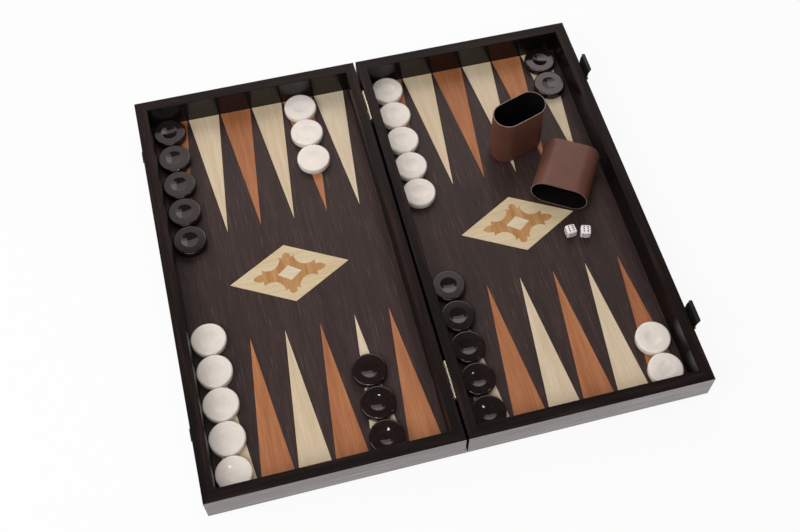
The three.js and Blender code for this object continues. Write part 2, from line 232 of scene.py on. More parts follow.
@dataclass(frozen=True)
class Wood:
    """Wood, bare or lacquered: streaks along the grain, pores, and a slow change of tone."""

    name: str
    deep: str
    body: str
    pale: str
    fleck: str
    grain: Axis
    streak_mm: tuple[float, float]
    figure_mm: tuple[float, float]
    pore_mm: tuple[float, float]
    pore_share: float
    roughness: float = 0.5
    specular: float = 0.4
    lacquer: float = 0.0
    lacquer_roughness: float = 0.22
    thin_lacquer: float = 0.35
    brushed: float = 0.0
    brush_turn: float = 0.25
    planks: bool = False
    plank_shift_m: tuple[float, float, float] = (3.7, 2.3, 5.1)
    plank_tone: float = 0.16
    layer_details: tuple[float, float, float] = (4.0, 2.0, 1.0)
    figure_share: float = 0.45
    contrast: tuple[float, float] = (0.36, 0.66)
    pore_range: tuple[float, float] = (0.62, 0.74)
    pore_depth_mm: float = 0.02
    pore_relief: float = 0.35
    gloss_spread: tuple[float, float] = (-0.06, 0.08)

    @cache
    def material(self) -> bpy.types.Material:
        """Builds the material once.

        Returns:
            The material.
        """
        material, tree, shader = new_material(self.name)
        place = add_node(tree, "ShaderNodeTexCoord").outputs["Object"]
        plank = None
        if self.planks:
            plank = add_node(tree, "ShaderNodeAttribute", attribute_name="plank").outputs["Fac"]
            shift = add_node(
                tree, "ShaderNodeVectorMath", {0: plank, 1: self.plank_shift_m}, operation="MULTIPLY"
            )
            place = add_node(tree, "ShaderNodeVectorMath", {0: place, 1: shift}, operation="ADD")
        layers = zip((self.streak_mm, self.figure_mm, self.pore_mm), self.layer_details)
        streaks, figure, pores = (
            drawn_out(
                tree, place, self.grain, size,
                {"Detail": detail, "Roughness": 0.6, "Distortion": 0.25},
            )
            for size, detail in layers
        )
        tone = add_node(
            tree, "ShaderNodeMix", {0: self.figure_share, 2: streaks, 3: figure}, data_type="FLOAT"
        )
        if plank is not None:
            centred = add_node(
                tree, "ShaderNodeMath", {0: plank, 1: self.plank_tone, 2: -self.plank_tone / 2.0},
                operation="MULTIPLY_ADD",
            )
            tone = add_node(tree, "ShaderNodeMath", {0: tone, 1: centred}, operation="ADD")
        low, high = self.contrast
        colour = add_node(
            tree, "ShaderNodeValToRGB", {"Fac": tone},
            stops=((low, self.deep), ((low + high) / 2.0, self.body), (high, self.pale)),
        )
        pore = add_node(
            tree, "ShaderNodeMapRange",
            {
                "Value": pores, "From Min": self.pore_range[0], "From Max": self.pore_range[1],
                "To Max": self.pore_share,
            },
        )
        flecked = add_node(
            tree, "ShaderNodeMix", {0: pore, 6: colour, 7: linear(self.fleck)}, data_type="RGBA"
        )
        bump = add_node(
            tree, "ShaderNodeBump",
            {"Height": pore, "Strength": self.pore_relief, "Distance": self.pore_depth_mm * MM},
            invert=True,
        )
        smooth_end, rough_end = self.gloss_spread
        rough = add_node(
            tree, "ShaderNodeMapRange",
            {
                "Value": streaks, "To Min": self.roughness + smooth_end,
                "To Max": self.roughness + rough_end,
            },
        )
        feed(
            tree, shader,
            {
                "Base Color": flecked.outputs[2], "Roughness": rough, "Normal": bump,
                "IOR": DIELECTRIC_IOR, "Specular IOR Level": self.specular,
                "Anisotropic": self.brushed, "Anisotropic Rotation": self.brush_turn,
            },
        )
        if self.lacquer > 0.0:
            film = add_node(
                tree, "ShaderNodeMapRange",
                {
                    "Value": tone, "From Min": low, "From Max": high,
                    "To Min": self.thin_lacquer * self.lacquer, "To Max": self.lacquer,
                },
            )
            feed(tree, shader, {"Coat Weight": film, "Coat Roughness": self.lacquer_roughness})
        return material


@dataclass(frozen=True)
class Resin:
    """Cast and polished resin with a faint cloud of a second tone; light enters a pale one."""

    name: str
    body: str
    cloud: str
    cloud_mm: float
    roughness: float
    specular: float = 0.5
    light_depth_mm: float = 0.0
    light_reach: tuple[float, float, float] = (1.0, 0.9, 0.85)
    cloud_range: tuple[float, float] = (0.35, 0.7)
    handling_mm: float = 3.0
    gloss_spread: tuple[float, float] = (0.6, 1.4)

    @cache
    def material(self) -> bpy.types.Material:
        """Builds the material once.

        Returns:
            The material.
        """
        material, tree, shader = new_material(self.name)
        place = add_node(tree, "ShaderNodeTexCoord").outputs["Object"]
        cloud = add_node(
            tree, "ShaderNodeTexNoise",
            {"Vector": place, "Scale": 1.0 / (MM * self.cloud_mm), "Detail": 3.0, "Distortion": 1.2},
        )
        colour = add_node(
            tree, "ShaderNodeValToRGB", {"Fac": cloud},
            stops=tuple(zip(self.cloud_range, (self.body, self.cloud))),
        )
        handled = add_node(
            tree, "ShaderNodeTexNoise",
            {"Vector": place, "Scale": 1.0 / (MM * self.handling_mm), "Detail": 4.0},
        )
        smooth_end, rough_end = self.gloss_spread
        rough = add_node(
            tree, "ShaderNodeMapRange",
            {
                "Value": handled, "To Min": self.roughness * smooth_end,
                "To Max": self.roughness * rough_end,
            },
        )
        feed(
            tree, shader,
            {
                "Base Color": colour, "Roughness": rough, "IOR": DIELECTRIC_IOR,
                "Specular IOR Level": self.specular,
            },
        )
        if self.light_depth_mm > 0.0:
            feed(
                tree, shader,
                {
                    "Subsurface Weight": 1.0, "Subsurface Radius": self.light_reach,
                    "Subsurface Scale": self.light_depth_mm * MM,
                },
            )
        return material


@dataclass(frozen=True)
class Leatherette:
    """Embossed cup covering: a fine pebble grain, slightly uneven in tone."""

    name: str
    body: str
    pale: str
    pebble_mm: float
    roughness: float
    specular: float = 0.5
    depth_mm: float = 0.06
    emboss: float = 0.5
    tone_mm: float = 14.0
    tone_range: tuple[float, float] = (0.3, 0.75)
    gloss_spread: float = 0.05

    @cache
    def material(self) -> bpy.types.Material:
        """Builds the material once.

        Returns:
            The material.
        """
        material, tree, shader = new_material(self.name)
        place = add_node(tree, "ShaderNodeTexCoord").outputs["Object"]
        pebbles = add_node(
            tree, "ShaderNodeTexVoronoi", {"Vector": place, "Scale": 1.0 / (MM * self.pebble_mm)},
            feature="DISTANCE_TO_EDGE",
        )
        tone = add_node(
            tree, "ShaderNodeTexNoise",
            {"Vector": place, "Scale": 1.0 / (MM * self.tone_mm), "Detail": 5.0},
        )
        colour = add_node(
            tree, "ShaderNodeValToRGB", {"Fac": tone},
            stops=tuple(zip(self.tone_range, (self.body, self.pale))),
        )
        bump = add_node(
            tree, "ShaderNodeBump",
            {
                "Height": pebbles.outputs["Distance"], "Strength": self.emboss,
                "Distance": self.depth_mm * MM,
            },
        )
        rough = add_node(
            tree, "ShaderNodeMapRange",
            {
                "Value": tone, "To Min": self.roughness - self.gloss_spread,
                "To Max": self.roughness + self.gloss_spread,
            },
        )
        feed(
            tree, shader,
            {
                "Base Color": colour, "Roughness": rough, "Normal": bump, "IOR": DIELECTRIC_IOR,
                "Specular IOR Level": self.specular,
            },
        )
        return material


@dataclass(frozen=True)
class Metal:
    """Sheet or drawn metal, bare or enamelled, with drawing lines along one axis."""

    name: str
    body: str
    pale: str
    lines: Axis
    roughness: float
    metallic: float = 1.0
    lacquer: float = 0.0
    lacquer_roughness: float = 0.2
    specular: float = 0.5
    line_mm: tuple[float, float] = (9.0, 0.25)
    line_depth_mm: float = 0.02
    line_relief: float = 0.15
    tone_range: tuple[float, float] = (0.3, 0.75)
    gloss_spread: tuple[float, float] = (-0.06, 0.1)

    @cache
    def material(self) -> bpy.types.Material:
        """Builds the material once.

        Returns:
            The material.
        """
        material, tree, shader = new_material(self.name)
        place = add_node(tree, "ShaderNodeTexCoord").outputs["Object"]
        drawn = drawn_out(tree, place, self.lines, self.line_mm, {"Detail": 3.0})
        colour = add_node(
            tree, "ShaderNodeValToRGB", {"Fac": drawn},
            stops=tuple(zip(self.tone_range, (self.body, self.pale))),
        )
        smooth_end, rough_end = self.gloss_spread
        rough = add_node(
            tree, "ShaderNodeMapRange",
            {
                "Value": drawn, "To Min": self.roughness + smooth_end,
                "To Max": self.roughness + rough_end,
            },
        )
        bump = add_node(
            tree, "ShaderNodeBump",
            {"Height": drawn, "Strength": self.line_relief, "Distance": self.line_depth_mm * MM},
        )
        feed(
            tree, shader,
            {
                "Base Color": colour, "Roughness": rough, "Normal": bump, "Metallic": self.metallic,
                "Specular IOR Level": self.specular, "Coat Weight": self.lacquer,
                "Coat Roughness": self.lacquer_roughness,
            },
        )
        return material


Finish = Wood | Resin | Leatherette | Metal


def both_ways(name: str, **look: object) -> dict[Axis, Wood]:
    """The same wood with its grain along X and along Y."""
    return {axis: Wood(name=f"{name}_{axis.name.lower()}", grain=axis, **look) for axis in (Axis.X, Axis.Y)}


# Wenge, stained nearly black and oiled: the tops of the rails, where the grain barely shows. It also goes
# on the hinge rails' faces across the gap, as painted shade there.
RAIL_LOOK = {
    "deep": "050302", "body": "160c0a", "pale": "301d17", "fleck": "040202",
    "streak_mm": (60.0, 2.0), "figure_mm": (160.0, 8.0), "pore_mm": (14.0, 0.9), "pore_share": 0.8,
}
WENGE_TOP = both_ways("oiled_wenge", **RAIL_LOOK, roughness=0.46, specular=0.14)
# The same wood rubbed to a satin inside the trays: it mirrors the checkers faintly. Its colours are darker
# than the tops', as painted shade on the inner faces.
SHADED_WELL_LOOK = RAIL_LOOK | {"deep": "040202", "body": "0c0706", "pale": "1a100d"}
SATIN_SHADED_WENGE = both_ways("satin_wenge", **SHADED_WELL_LOOK, roughness=0.2, specular=0.5, brushed=1.0)
# And lacquered outside, where it turns silvery at a low angle over a pale table, with the grain as
# fine lines in the gloss.
CASE_LOOK = RAIL_LOOK | {
    "deep": "24130f", "body": "452a26", "pale": "694a43", "streak_mm": (32.0, 0.9),
    "figure_mm": (140.0, 3.0), "contrast": (0.4, 0.62),
}
WENGE_CASE = both_ways("lacquered_wenge", **CASE_LOOK, roughness=0.3, specular=0.5, lacquer=1.0)
# Wenge veneer: fine brown lines on near black, along the points. The real lines are about half a
# millimetre apart, and are drawn wider to show.
WENGE_VENEER = Wood(
    name="sliced_wenge_veneer", deep="271b1a", body="322321", pale="412f2d", fleck="58463f",
    grain=Axis.Y, streak_mm=(50.0, 1.6), figure_mm=(150.0, 12.0), pore_mm=(30.0, 1.1),
    pore_share=0.7, specular=0.3,
)
# Maple veneer: pale, close-grained, with slight flecks.
MAPLE = Wood(
    name="maple_points", deep="cbb594", body="d4c0a2", pale="dccbb1", fleck="c3ab88",
    grain=Axis.Y, streak_mm=(40.0, 1.6), figure_mm=(120.0, 9.0), pore_mm=(5.0, 0.7),
    pore_share=0.5, planks=True,
)
# A creamier leaf of it round the ornaments, laid across.
MAPLE_ACROSS = Wood(
    name="maple_diamond", deep="c8b28a", body="d4c09b", pale="dbcbae", fleck="bca57b",
    grain=Axis.X, streak_mm=(30.0, 2.2), figure_mm=(80.0, 12.0), pore_mm=(5.0, 0.7),
    pore_share=0.4,
)
# Mahogany veneer: warm orange brown with slightly darker streaks along the point.
MAHOGANY = Wood(
    name="mahogany_points", deep="985d38", body="aa6b41", pale="b6794e", fleck="885130",
    grain=Axis.Y, streak_mm=(50.0, 2.0), figure_mm=(140.0, 10.0), pore_mm=(8.0, 0.8),
    pore_share=0.5, planks=True,
)
# Walnut veneer of the ornament in the diamonds: a yellower brown than the points.
ORNAMENT_WALNUT = Wood(
    name="walnut_ornament", deep="a2713f", body="b88750", pale="c49966", fleck="8f5f2e",
    grain=Axis.Y, streak_mm=(20.0, 1.8), figure_mm=(60.0, 7.0), pore_mm=(6.0, 0.8),
    pore_share=0.5,
)
# Holly veneer in the middle of the ornament: nearly white.
HOLLY = Wood(
    name="holly_lozenge", deep="d0bd9e", body="d9c8ab", pale="e0d1b9", fleck="c2ae8c",
    grain=Axis.X, streak_mm=(30.0, 1.6), figure_mm=(60.0, 8.0), pore_mm=(5.0, 0.7),
    pore_share=0.3,
)
# Black cast resin of the checkers: polished in the dish and round the edge, where it mirrors the
# lamps, and lapped to a softer gloss on the flat ring that they are stacked on.
BLACK_CAST = {"body": "150b09", "cloud": "1f120f", "cloud_mm": 12.0}
BLACK_RESIN = Resin(name="black_cast_resin", **BLACK_CAST, roughness=0.08)
BLACK_LAPPED = Resin(name="lapped_black_resin", **BLACK_CAST, roughness=0.12, specular=0.46)
# Pearl white resin, finished the same way. Light enters it and softens the shading of the dish.
PEARL_CAST = {"body": "ebe3db", "cloud": "f0e9e2", "cloud_mm": 14.0, "light_depth_mm": 4.0}
PEARL_RESIN = Resin(name="pearl_cast_resin", **PEARL_CAST, roughness=0.18)
PEARL_LAPPED = Resin(name="lapped_pearl_resin", **PEARL_CAST, roughness=0.4, specular=0.3)
# Acrylic of the dice, with ink in their pips.
IVORY_ACRYLIC = Resin(
    name="ivory_acrylic", body="f3ecea", cloud="f9f4f3", cloud_mm=6.0, roughness=0.2
)
PIP_INK = Resin(name="pip_ink", body="15110f", cloud="211b18", cloud_mm=1.0, roughness=0.4)
# Embossed leatherette round the cups: satin brown.
CUP_LEATHERETTE = Leatherette(
    name="brown_leatherette", body="5f382c", pale="6b4335", pebble_mm=1.1, roughness=0.48
)
# Flocked lining of the cups: dark flock, painted darker still as the shade inside the cups.
CUP_FLOCK_AND_SHADE = Leatherette(
    name="black_flock", body="060404", pale="0c0908", pebble_mm=0.6, roughness=0.95, specular=0.1
)
# The cut edge of the board that the cups are rolled from: pale and matt.
CUP_EDGE = Leatherette(
    name="cut_board_edge", body="8d7876", pale="a39291", pebble_mm=0.7, roughness=0.6
)
# Drawn brass of the hinges: pale, with a soft shine.
HINGE_BRASS = Metal(
    name="drawn_brass", body="eadcbc", pale="f7efdc", lines=Axis.Y, roughness=0.45
)
# Turned brass of the hinge screws: a deeper yellow than the drawn leaves.
SCREW_BRASS = Metal(
    name="turned_brass", body="9c7c42", pale="c2a266", lines=Axis.X, roughness=0.3
)
# Stove-enamelled sheet steel of the latches: black, with a soft gloss.
BLACK_ENAMEL = Metal(
    name="black_enamelled_steel", body="070708", pale="0e0e0f", lines=Axis.Y, roughness=0.5,
    metallic=0.0, lacquer=0.1, specular=0.3,
)
# Blackened screw steel: a dark grey shine.
SCREW_STEEL = Metal(
    name="blackened_screw_steel", body="2a2a2c", pale="4a4a4d", lines=Axis.X, roughness=0.35
)


# Meshes


@dataclass(frozen=True)
class Box:
    """A node's box in millimetres."""

    low: Vector
    high: Vector

    @classmethod
    def of(cls, node: str) -> Box:
        """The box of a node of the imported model."""
        low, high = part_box(node)
        return cls(low / MM, high / MM)

    @property
    def centre(self) -> Vector:
        """The middle of the box."""
        return (self.low + self.high) / 2.0

    @property
    def size(self) -> Vector:
        """The box's three sides."""
        return self.high - self.low


def loft(
    shell: bmesh.types.BMesh, rings: Iterable[Sequence[Vector]], material: int = 0, capped: bool = True
) -> None:
    """Skins a row of closed rings that have the same number of points.

    Args:
        shell: The mesh that gets the faces.
        rings: Rings of points; a ring of one point closes the skin to a pole.
        material: The material number of the faces.
        capped: Whether open ends are closed by flat faces.
    """
    rows = [[shell.verts.new(point) for point in ring] for ring in rings]
    faces = []
    for one, two in zip(rows, rows[1:]):
        count = max(len(one), len(two))
        for i in range(count):
            j = (i + 1) % count
            corners = [one[i % len(one)], one[j % len(one)], two[j % len(two)], two[i % len(two)]]
            faces.append(shell.faces.new(list(dict.fromkeys(corners))))
    if capped:
        faces += [shell.faces.new(row) for row in (rows[0], rows[-1]) if len(row) > 2]
    for face in faces:
        face.material_index = material


def circle(radius: float, z: float, sides: int) -> list[Vector]:
    """A ring of points round Z.

    Args:
        radius: The ring's radius.
        z: Its height.
        sides: How many points it has.

    Returns:
        The points, or one point where the radius is nothing.
    """
    if radius <= 0.0:
        return [Vector((0.0, 0.0, z))]
    turns = [i * 2.0 * math.pi / sides for i in range(sides)]
    return [Vector((radius * math.cos(turn), radius * math.sin(turn), z)) for turn in turns]


def arc(
    centre: tuple[float, float], radius: float, start_deg: float, end_deg: float, steps: int
) -> list[tuple[float, float]]:
    """Points along a circular arc in a plane, both ends included."""
    angles = [math.radians(start_deg + (end_deg - start_deg) * i / steps) for i in range(steps + 1)]
    return [(centre[0] + radius * math.cos(a), centre[1] + radius * math.sin(a)) for a in angles]


def bow(
    start: tuple[float, float], end: tuple[float, float], depth: float, steps: int
) -> list[tuple[float, float]]:
    """Points along a bowed line in a plane, both ends included.

    Args:
        start: Where it starts.
        end: Where it ends.
        depth: How far its middle stands off to the left of the straight line.
        steps: How many steps it has.

    Returns:
        The points.
    """
    one, two = Vector(start), Vector(end)
    left = Vector((one.y - two.y, two.x - one.x)).normalized()
    points = []
    for i in range(steps + 1):
        share = i / steps
        point = one.lerp(two, share) + left * depth * 4.0 * share * (1.0 - share)
        points.append((point.x, point.y))
    return points


def rod(
    shell: bmesh.types.BMesh, centre: Vector, diameter: float, length: float, chamfer: float
) -> None:
    """Adds a round rod along Y with chamfered ends.

    Args:
        shell: The mesh that gets the rod.
        centre: The rod's middle.
        diameter: The rod's diameter.
        length: The rod's length.
        chamfer: The size of the chamfer at both ends.
    """
    radius, half = diameter / 2.0, length / 2.0
    stations = (
        (radius - chamfer, -half), (radius, chamfer - half),
        (radius, half - chamfer), (radius - chamfer, half),
    )
    turned = Matrix.Translation(centre) @ Matrix.Rotation(math.radians(-90.0), 4, "X")
    loft(shell, [[turned @ point for point in circle(r, z, ROD_SIDES)] for r, z in stations])


def rounded_outline(half_width: float, half_height: float, radius: float) -> list[tuple[float, float]]:
    """A rectangle with rounded corners about the middle of a plane.

    Args:
        half_width: Half its width.
        half_height: Half its height.
        radius: The radius of its corners.

    Returns:
        The points round it.
    """
    points = []
    for quarter, (sign_x, sign_y) in enumerate(((1, 1), (-1, 1), (-1, -1), (1, -1))):
        centre = (sign_x * (half_width - radius), sign_y * (half_height - radius))
        points += arc(centre, radius, 90.0 * quarter, 90.0 * (quarter + 1), CORNER_STEPS)
    return points


def plate(
    shell: bmesh.types.BMesh, low: Vector, high: Vector, thin: Axis, corner: float, chamfer: float
) -> None:
    """Adds a flat plate with rounded corners and chamfered edges.

    Args:
        shell: The mesh that gets the plate.
        low: The lowest corner.
        high: The highest corner.
        thin: The direction of the plate's thickness.
        corner: The radius of its four corners.
        chamfer: The chamfer along its edges.
    """
    wide, tall = [axis.value for axis in Axis if axis is not thin]
    middle = (low + high) / 2.0
    back, front = low[thin.value], high[thin.value]
    levels = ((chamfer, back), (0.0, back + chamfer), (0.0, front - chamfer), (chamfer, front))
    rings = []
    for inset, depth in levels:
        half_width = (high[wide] - low[wide]) / 2.0 - inset
        half_height = (high[tall] - low[tall]) / 2.0 - inset
        ring = []
        for across, along in rounded_outline(half_width, half_height, max(corner - inset, LEAST_CORNER)):
            point = middle.copy()
            point[wide] += across
            point[tall] += along
            point[thin.value] = depth
            ring.append(point)
        rings.append(ring)
    loft(shell, rings)


def add_object(name: str, data: bpy.types.ID) -> bpy.types.Object:
    """Adds an object to the scene.

    Args:
        name: The object's name.
        data: Its mesh, curve, lamp or lens.

    Returns:
        The object.
    """
    made = bpy.data.objects.new(name, data)
    bpy.context.scene.collection.objects.link(made)
    return made


def evaluated_mesh(host: bpy.types.Object) -> bpy.types.Mesh:
    """Turns what an object makes into a plain mesh.

    Args:
        host: The object, which is removed with its modifiers.

    Returns:
        The mesh.
    """
    evaluated = host.evaluated_get(bpy.context.evaluated_depsgraph_get())
    mesh = bpy.data.meshes.new_from_object(evaluated)
    host.modifiers.clear()
    bpy.data.objects.remove(host)
    return mesh


def flat_outline(
    name: str, loops: Sequence[Sequence[Vector]], low: float, high: float
) -> bpy.types.Mesh:
    """Fills a flat outline with its holes and gives it thickness.

    Args:
        name: The mesh's name.
        loops: The outer loop, then the holes, as points in X and Y.
        low: The height of the underside.
        high: The height of the top.

    Returns:
        A closed mesh in metres.
    """
    curve = bpy.data.curves.new(name, "CURVE")
    curve.dimensions = "2D"
    curve.fill_mode = "BOTH"
    curve.extrude = (high - low) / 2.0 * MM
    for loop in loops:
        spline = curve.splines.new("POLY")
        spline.points.add(len(loop) - 1)
        spline.use_cyclic_u = True
        for point, place in zip(spline.points, loop):
            point.co = (place.x * MM, place.y * MM, 0.0, 1.0)
    mesh = evaluated_mesh(add_object(name, curve))
    mesh.transform(Matrix.Translation((0.0, 0.0, (low + high) / 2.0 * MM)))
    shell = bmesh.new()
    shell.from_mesh(mesh)
    bmesh.ops.remove_doubles(shell, verts=shell.verts, dist=MERGE_MM * MM)
    bmesh.ops.recalc_face_normals(shell, faces=shell.faces)
    shell.to_mesh(mesh)
    shell.free()
    return mesh


def smooth(mesh: bpy.types.Mesh) -> bpy.types.Mesh:
    """Shades a mesh smooth apart from its sharp edges.

    Args:
        mesh: The mesh.

    Returns:
        The same mesh.
    """
    mesh.shade_smooth()
    mesh.set_sharp_from_angle(angle=SHARP_ANGLE)
    return mesh


def finished_mesh(name: str, shell: bmesh.types.BMesh) -> bpy.types.Mesh:
    """Turns a shell in millimetres into a mesh in metres with its faces pointing out.

    Args:
        name: The mesh's name.
        shell: The shell, which is freed.

    Returns:
        The mesh, smooth apart from its sharp edges.
    """
    bmesh.ops.recalc_face_normals(shell, faces=shell.faces)
    mesh = bpy.data.meshes.new(name)
    shell.to_mesh(mesh)
    shell.free()
    mesh.transform(Matrix.Scale(MM, 4))
    return smooth(mesh)


def seat(
    name: str,
    form: bpy.types.Mesh | bmesh.types.BMesh,
    body: str,
    finishes: Sequence[Finish],
    replaces: Sequence[str] = (),
) -> None:
    """Makes a mesh a piece of the object.

    Args:
        name: The piece's name.
        form: Its mesh in metres, or its shell in millimetres, in place.
        body: The moving body that it rides on.
        finishes: Its finishes, in the order of its material numbers.
        replaces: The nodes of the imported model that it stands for.
    """
    mesh = finished_mesh(name, form) if isinstance(form, bmesh.types.BMesh) else form
    piece = add_object(name, mesh)
    if not mesh.materials:
        for finish in finishes:
            mesh.materials.append(finish.material())
    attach(piece, body)
    if replaces:
        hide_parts(*replaces)
    LOG.info("%s rides on %s: %d faces", name, body, len(mesh.polygons))


# Geometry trees


def run_tree(
    mesh: bpy.types.Mesh, tree: bpy.types.GeometryNodeTree, values: dict[str, object]
) -> bpy.types.Mesh:
    """Runs a geometry tree on a mesh.

    Args:
        mesh: The mesh that goes in.
        tree: The geometry tree.
        values: Values of the tree's inputs, by their names.

    Returns:
        The plain mesh that it makes.
    """
    host = add_object(mesh.name, mesh)
    modifier = host.modifiers.new(tree.name, "NODES")
    modifier.node_group = tree
    for item in tree.interface.items_tree:
        if item.item_type == "SOCKET" and item.in_out == "INPUT" and item.name in values:
            modifier[item.identifier] = values[item.name]
    return evaluated_mesh(host)


def new_tree(
    name: str, inputs: dict[str, str]
) -> tuple[bpy.types.GeometryNodeTree, bpy.types.bpy_prop_collection]:
    """Starts a geometry tree.

    Args:
        name: The tree's name.
        inputs: Input names and their socket types; a geometry input comes first by itself.

    Returns:
        The tree and the sockets that its inputs come from.
    """
    tree = bpy.data.node_groups.new(name, "GeometryNodeTree")
    tree.interface.new_socket("Geometry", in_out="INPUT", socket_type="NodeSocketGeometry")
    for label, kind in inputs.items():
        tree.interface.new_socket(label, in_out="INPUT", socket_type=f"NodeSocket{kind}")
    tree.interface.new_socket("Geometry", in_out="OUTPUT", socket_type="NodeSocketGeometry")
    return tree, add_node(tree, "NodeGroupInput").outputs


def close_tree(
    tree: bpy.types.GeometryNodeTree, copies: bpy.types.Node, material: bpy.types.NodeSocket
) -> bpy.types.GeometryNodeTree:
    """Ends a geometry tree with real copies in one material.

    Args:
        tree: The tree.
        copies: The node that makes the copies.
        material: The socket that their material comes from.

    Returns:
        The same tree.
    """
    real = add_node(tree, "GeometryNodeRealizeInstances", {"Geometry": copies})
    dressed = add_node(tree, "GeometryNodeSetMaterial", {"Geometry": real, "Material": material})
    add_node(tree, "NodeGroupOutput", {"Geometry": dressed})
    return tree


@cache
def row_tree() -> bpy.types.GeometryNodeTree:
    """A row of copies of one inlay, each marked with its own number so that its grain differs.

    Returns:
        The tree, whose inputs are Start, Step, Count, Seed and Material.
    """
    tree, given = new_tree(
        "inlay_row",
        {"Start": "Vector", "Step": "Vector", "Count": "Int", "Seed": "Int", "Material": "Material"},
    )
    line = add_node(
        tree, "GeometryNodeMeshLine",
        {"Count": given["Count"], "Start Location": given["Start"], "Offset": given["Step"]},
        mode="OFFSET",
    )
    copies = add_node(
        tree, "GeometryNodeInstanceOnPoints", {"Points": line, "Instance": given["Geometry"]}
    )
    number = add_node(tree, "FunctionNodeRandomValue", {"Seed": given["Seed"]}, data_type="FLOAT")
    marked = add_node(
        tree, "GeometryNodeStoreNamedAttribute",
        {"Geometry": copies, "Name": "plank", "Value": number.outputs[1]},
        data_type="FLOAT", domain="INSTANCE",
    )
    return close_tree(tree, marked, given["Material"])


# A screw's head is a flattened ball with a slot cut by a bar: the ball's scale, then the bar's size and
# its height on a head of diameter 1.
HEAD_SCALE = (1.0, 1.0, 0.38)
SLOT_BAR = (2.4, 0.2, 0.3)
SLOT_LIFT = (0.0, 0.0, 0.22)


@cache
def screw_tree() -> bpy.types.GeometryNodeTree:
    """Slotted round-head screws on the points of a mesh, all facing one way.

    Returns:
        The tree, whose inputs are Diameter, Turn and Material.
    """
    tree, given = new_tree(
        "slotted_screws", {"Diameter": "Float", "Turn": "Rotation", "Material": "Material"}
    )
    diameter = given["Diameter"]
    radius = add_node(tree, "ShaderNodeMath", {0: diameter, 1: 0.5}, operation="MULTIPLY")
    ball = add_node(tree, "GeometryNodeMeshUVSphere", {"Segments": 20, "Rings": 10, "Radius": radius})
    head = add_node(tree, "GeometryNodeTransform", {"Geometry": ball, "Scale": HEAD_SCALE})
    size, lift = (
        add_node(tree, "ShaderNodeVectorMath", {0: share, 1: diameter}, operation="MULTIPLY")
        for share in (SLOT_BAR, SLOT_LIFT)
    )
    bar = add_node(tree, "GeometryNodeMeshCube", {"Size": size})
    raised = add_node(tree, "GeometryNodeTransform", {"Geometry": bar, "Translation": lift})
    slotted = add_node(
        tree, "GeometryNodeMeshBoolean", {"Mesh 1": head, "Mesh 2": raised},
        operation="DIFFERENCE", solver="EXACT",
    )
    copies = add_node(
        tree, "GeometryNodeInstanceOnPoints",
        {"Points": given["Geometry"], "Instance": slotted, "Rotation": given["Turn"]},
    )
    return close_tree(tree, copies, given["Material"])


@cache
def pip_tree() -> bpy.types.GeometryNodeTree:
    """Sinks inked pips into a die at the loose points of its mesh that are marked as pips.

    Returns:
        The tree, whose inputs are Diameter, Body and Ink.
    """
    tree, given = new_tree(
        "sunk_pips", {"Diameter": "Float", "Body": "Material", "Ink": "Material"}
    )
    is_pip, is_ink = (
        add_node(tree, "GeometryNodeInputNamedAttribute", {"Name": mark}, data_type="BOOLEAN")
        for mark in ("pip", "ink")
    )
    parts = add_node(
        tree, "GeometryNodeSeparateGeometry", {"Geometry": given["Geometry"], "Selection": is_pip},
        domain="POINT",
    )
    radius = add_node(tree, "ShaderNodeMath", {0: given["Diameter"], 1: 0.5}, operation="MULTIPLY")
    ball = add_node(tree, "GeometryNodeMeshIcoSphere", {"Radius": radius, "Subdivisions": 3})
    balls = add_node(
        tree, "GeometryNodeInstanceOnPoints",
        {"Points": parts.outputs["Selection"], "Instance": ball},
    )
    real = add_node(tree, "GeometryNodeRealizeInstances", {"Geometry": balls})
    marked = add_node(
        tree, "GeometryNodeStoreNamedAttribute", {"Geometry": real, "Name": "ink", "Value": True},
        data_type="BOOLEAN", domain="FACE",
    )
    sunk = add_node(
        tree, "GeometryNodeMeshBoolean", {"Mesh 1": parts.outputs["Inverted"], "Mesh 2": marked},
        operation="DIFFERENCE", solver="EXACT",
    )
    bare = add_node(tree, "GeometryNodeSetMaterial", {"Geometry": sunk, "Material": given["Body"]})
    inked = add_node(
        tree, "GeometryNodeSetMaterial",
        {"Geometry": bare, "Selection": is_ink, "Material": given["Ink"]},
    )
    add_node(tree, "NodeGroupOutput", {"Geometry": inked})
    return tree


@dataclass(frozen=True)
class Screws:
    """Slotted screws of one kind, whose heads are turned from facing up to facing out."""

    diameter: float
    facing_deg: tuple[float, float, float]
    slot: str
    finish: Metal

    def build(self, name: str, places: Sequence[Vector], body: str) -> None:
        """Adds a group of these screws to a body.

        Args:
            name: The piece's name.
            places: Where the heads sit.
            body: The body that they ride on.
        """
        points = bpy.data.meshes.new(name)
        points.from_pydata([place * MM for place in places], [], [])
        values = {
            "Diameter": self.diameter * MM,
            "Turn": tuple(math.radians(angle) for angle in self.facing_deg),
            "Material": self.finish.material(),
        }
        mesh = smooth(run_tree(points, screw_tree(), values))
        seat(name, mesh, body, [self.finish])


# Case


class RailFace(IntEnum):
    """The faces of a rail by their material numbers."""

    TOP = 0
    OUTSIDE = 1
    WELL = 2


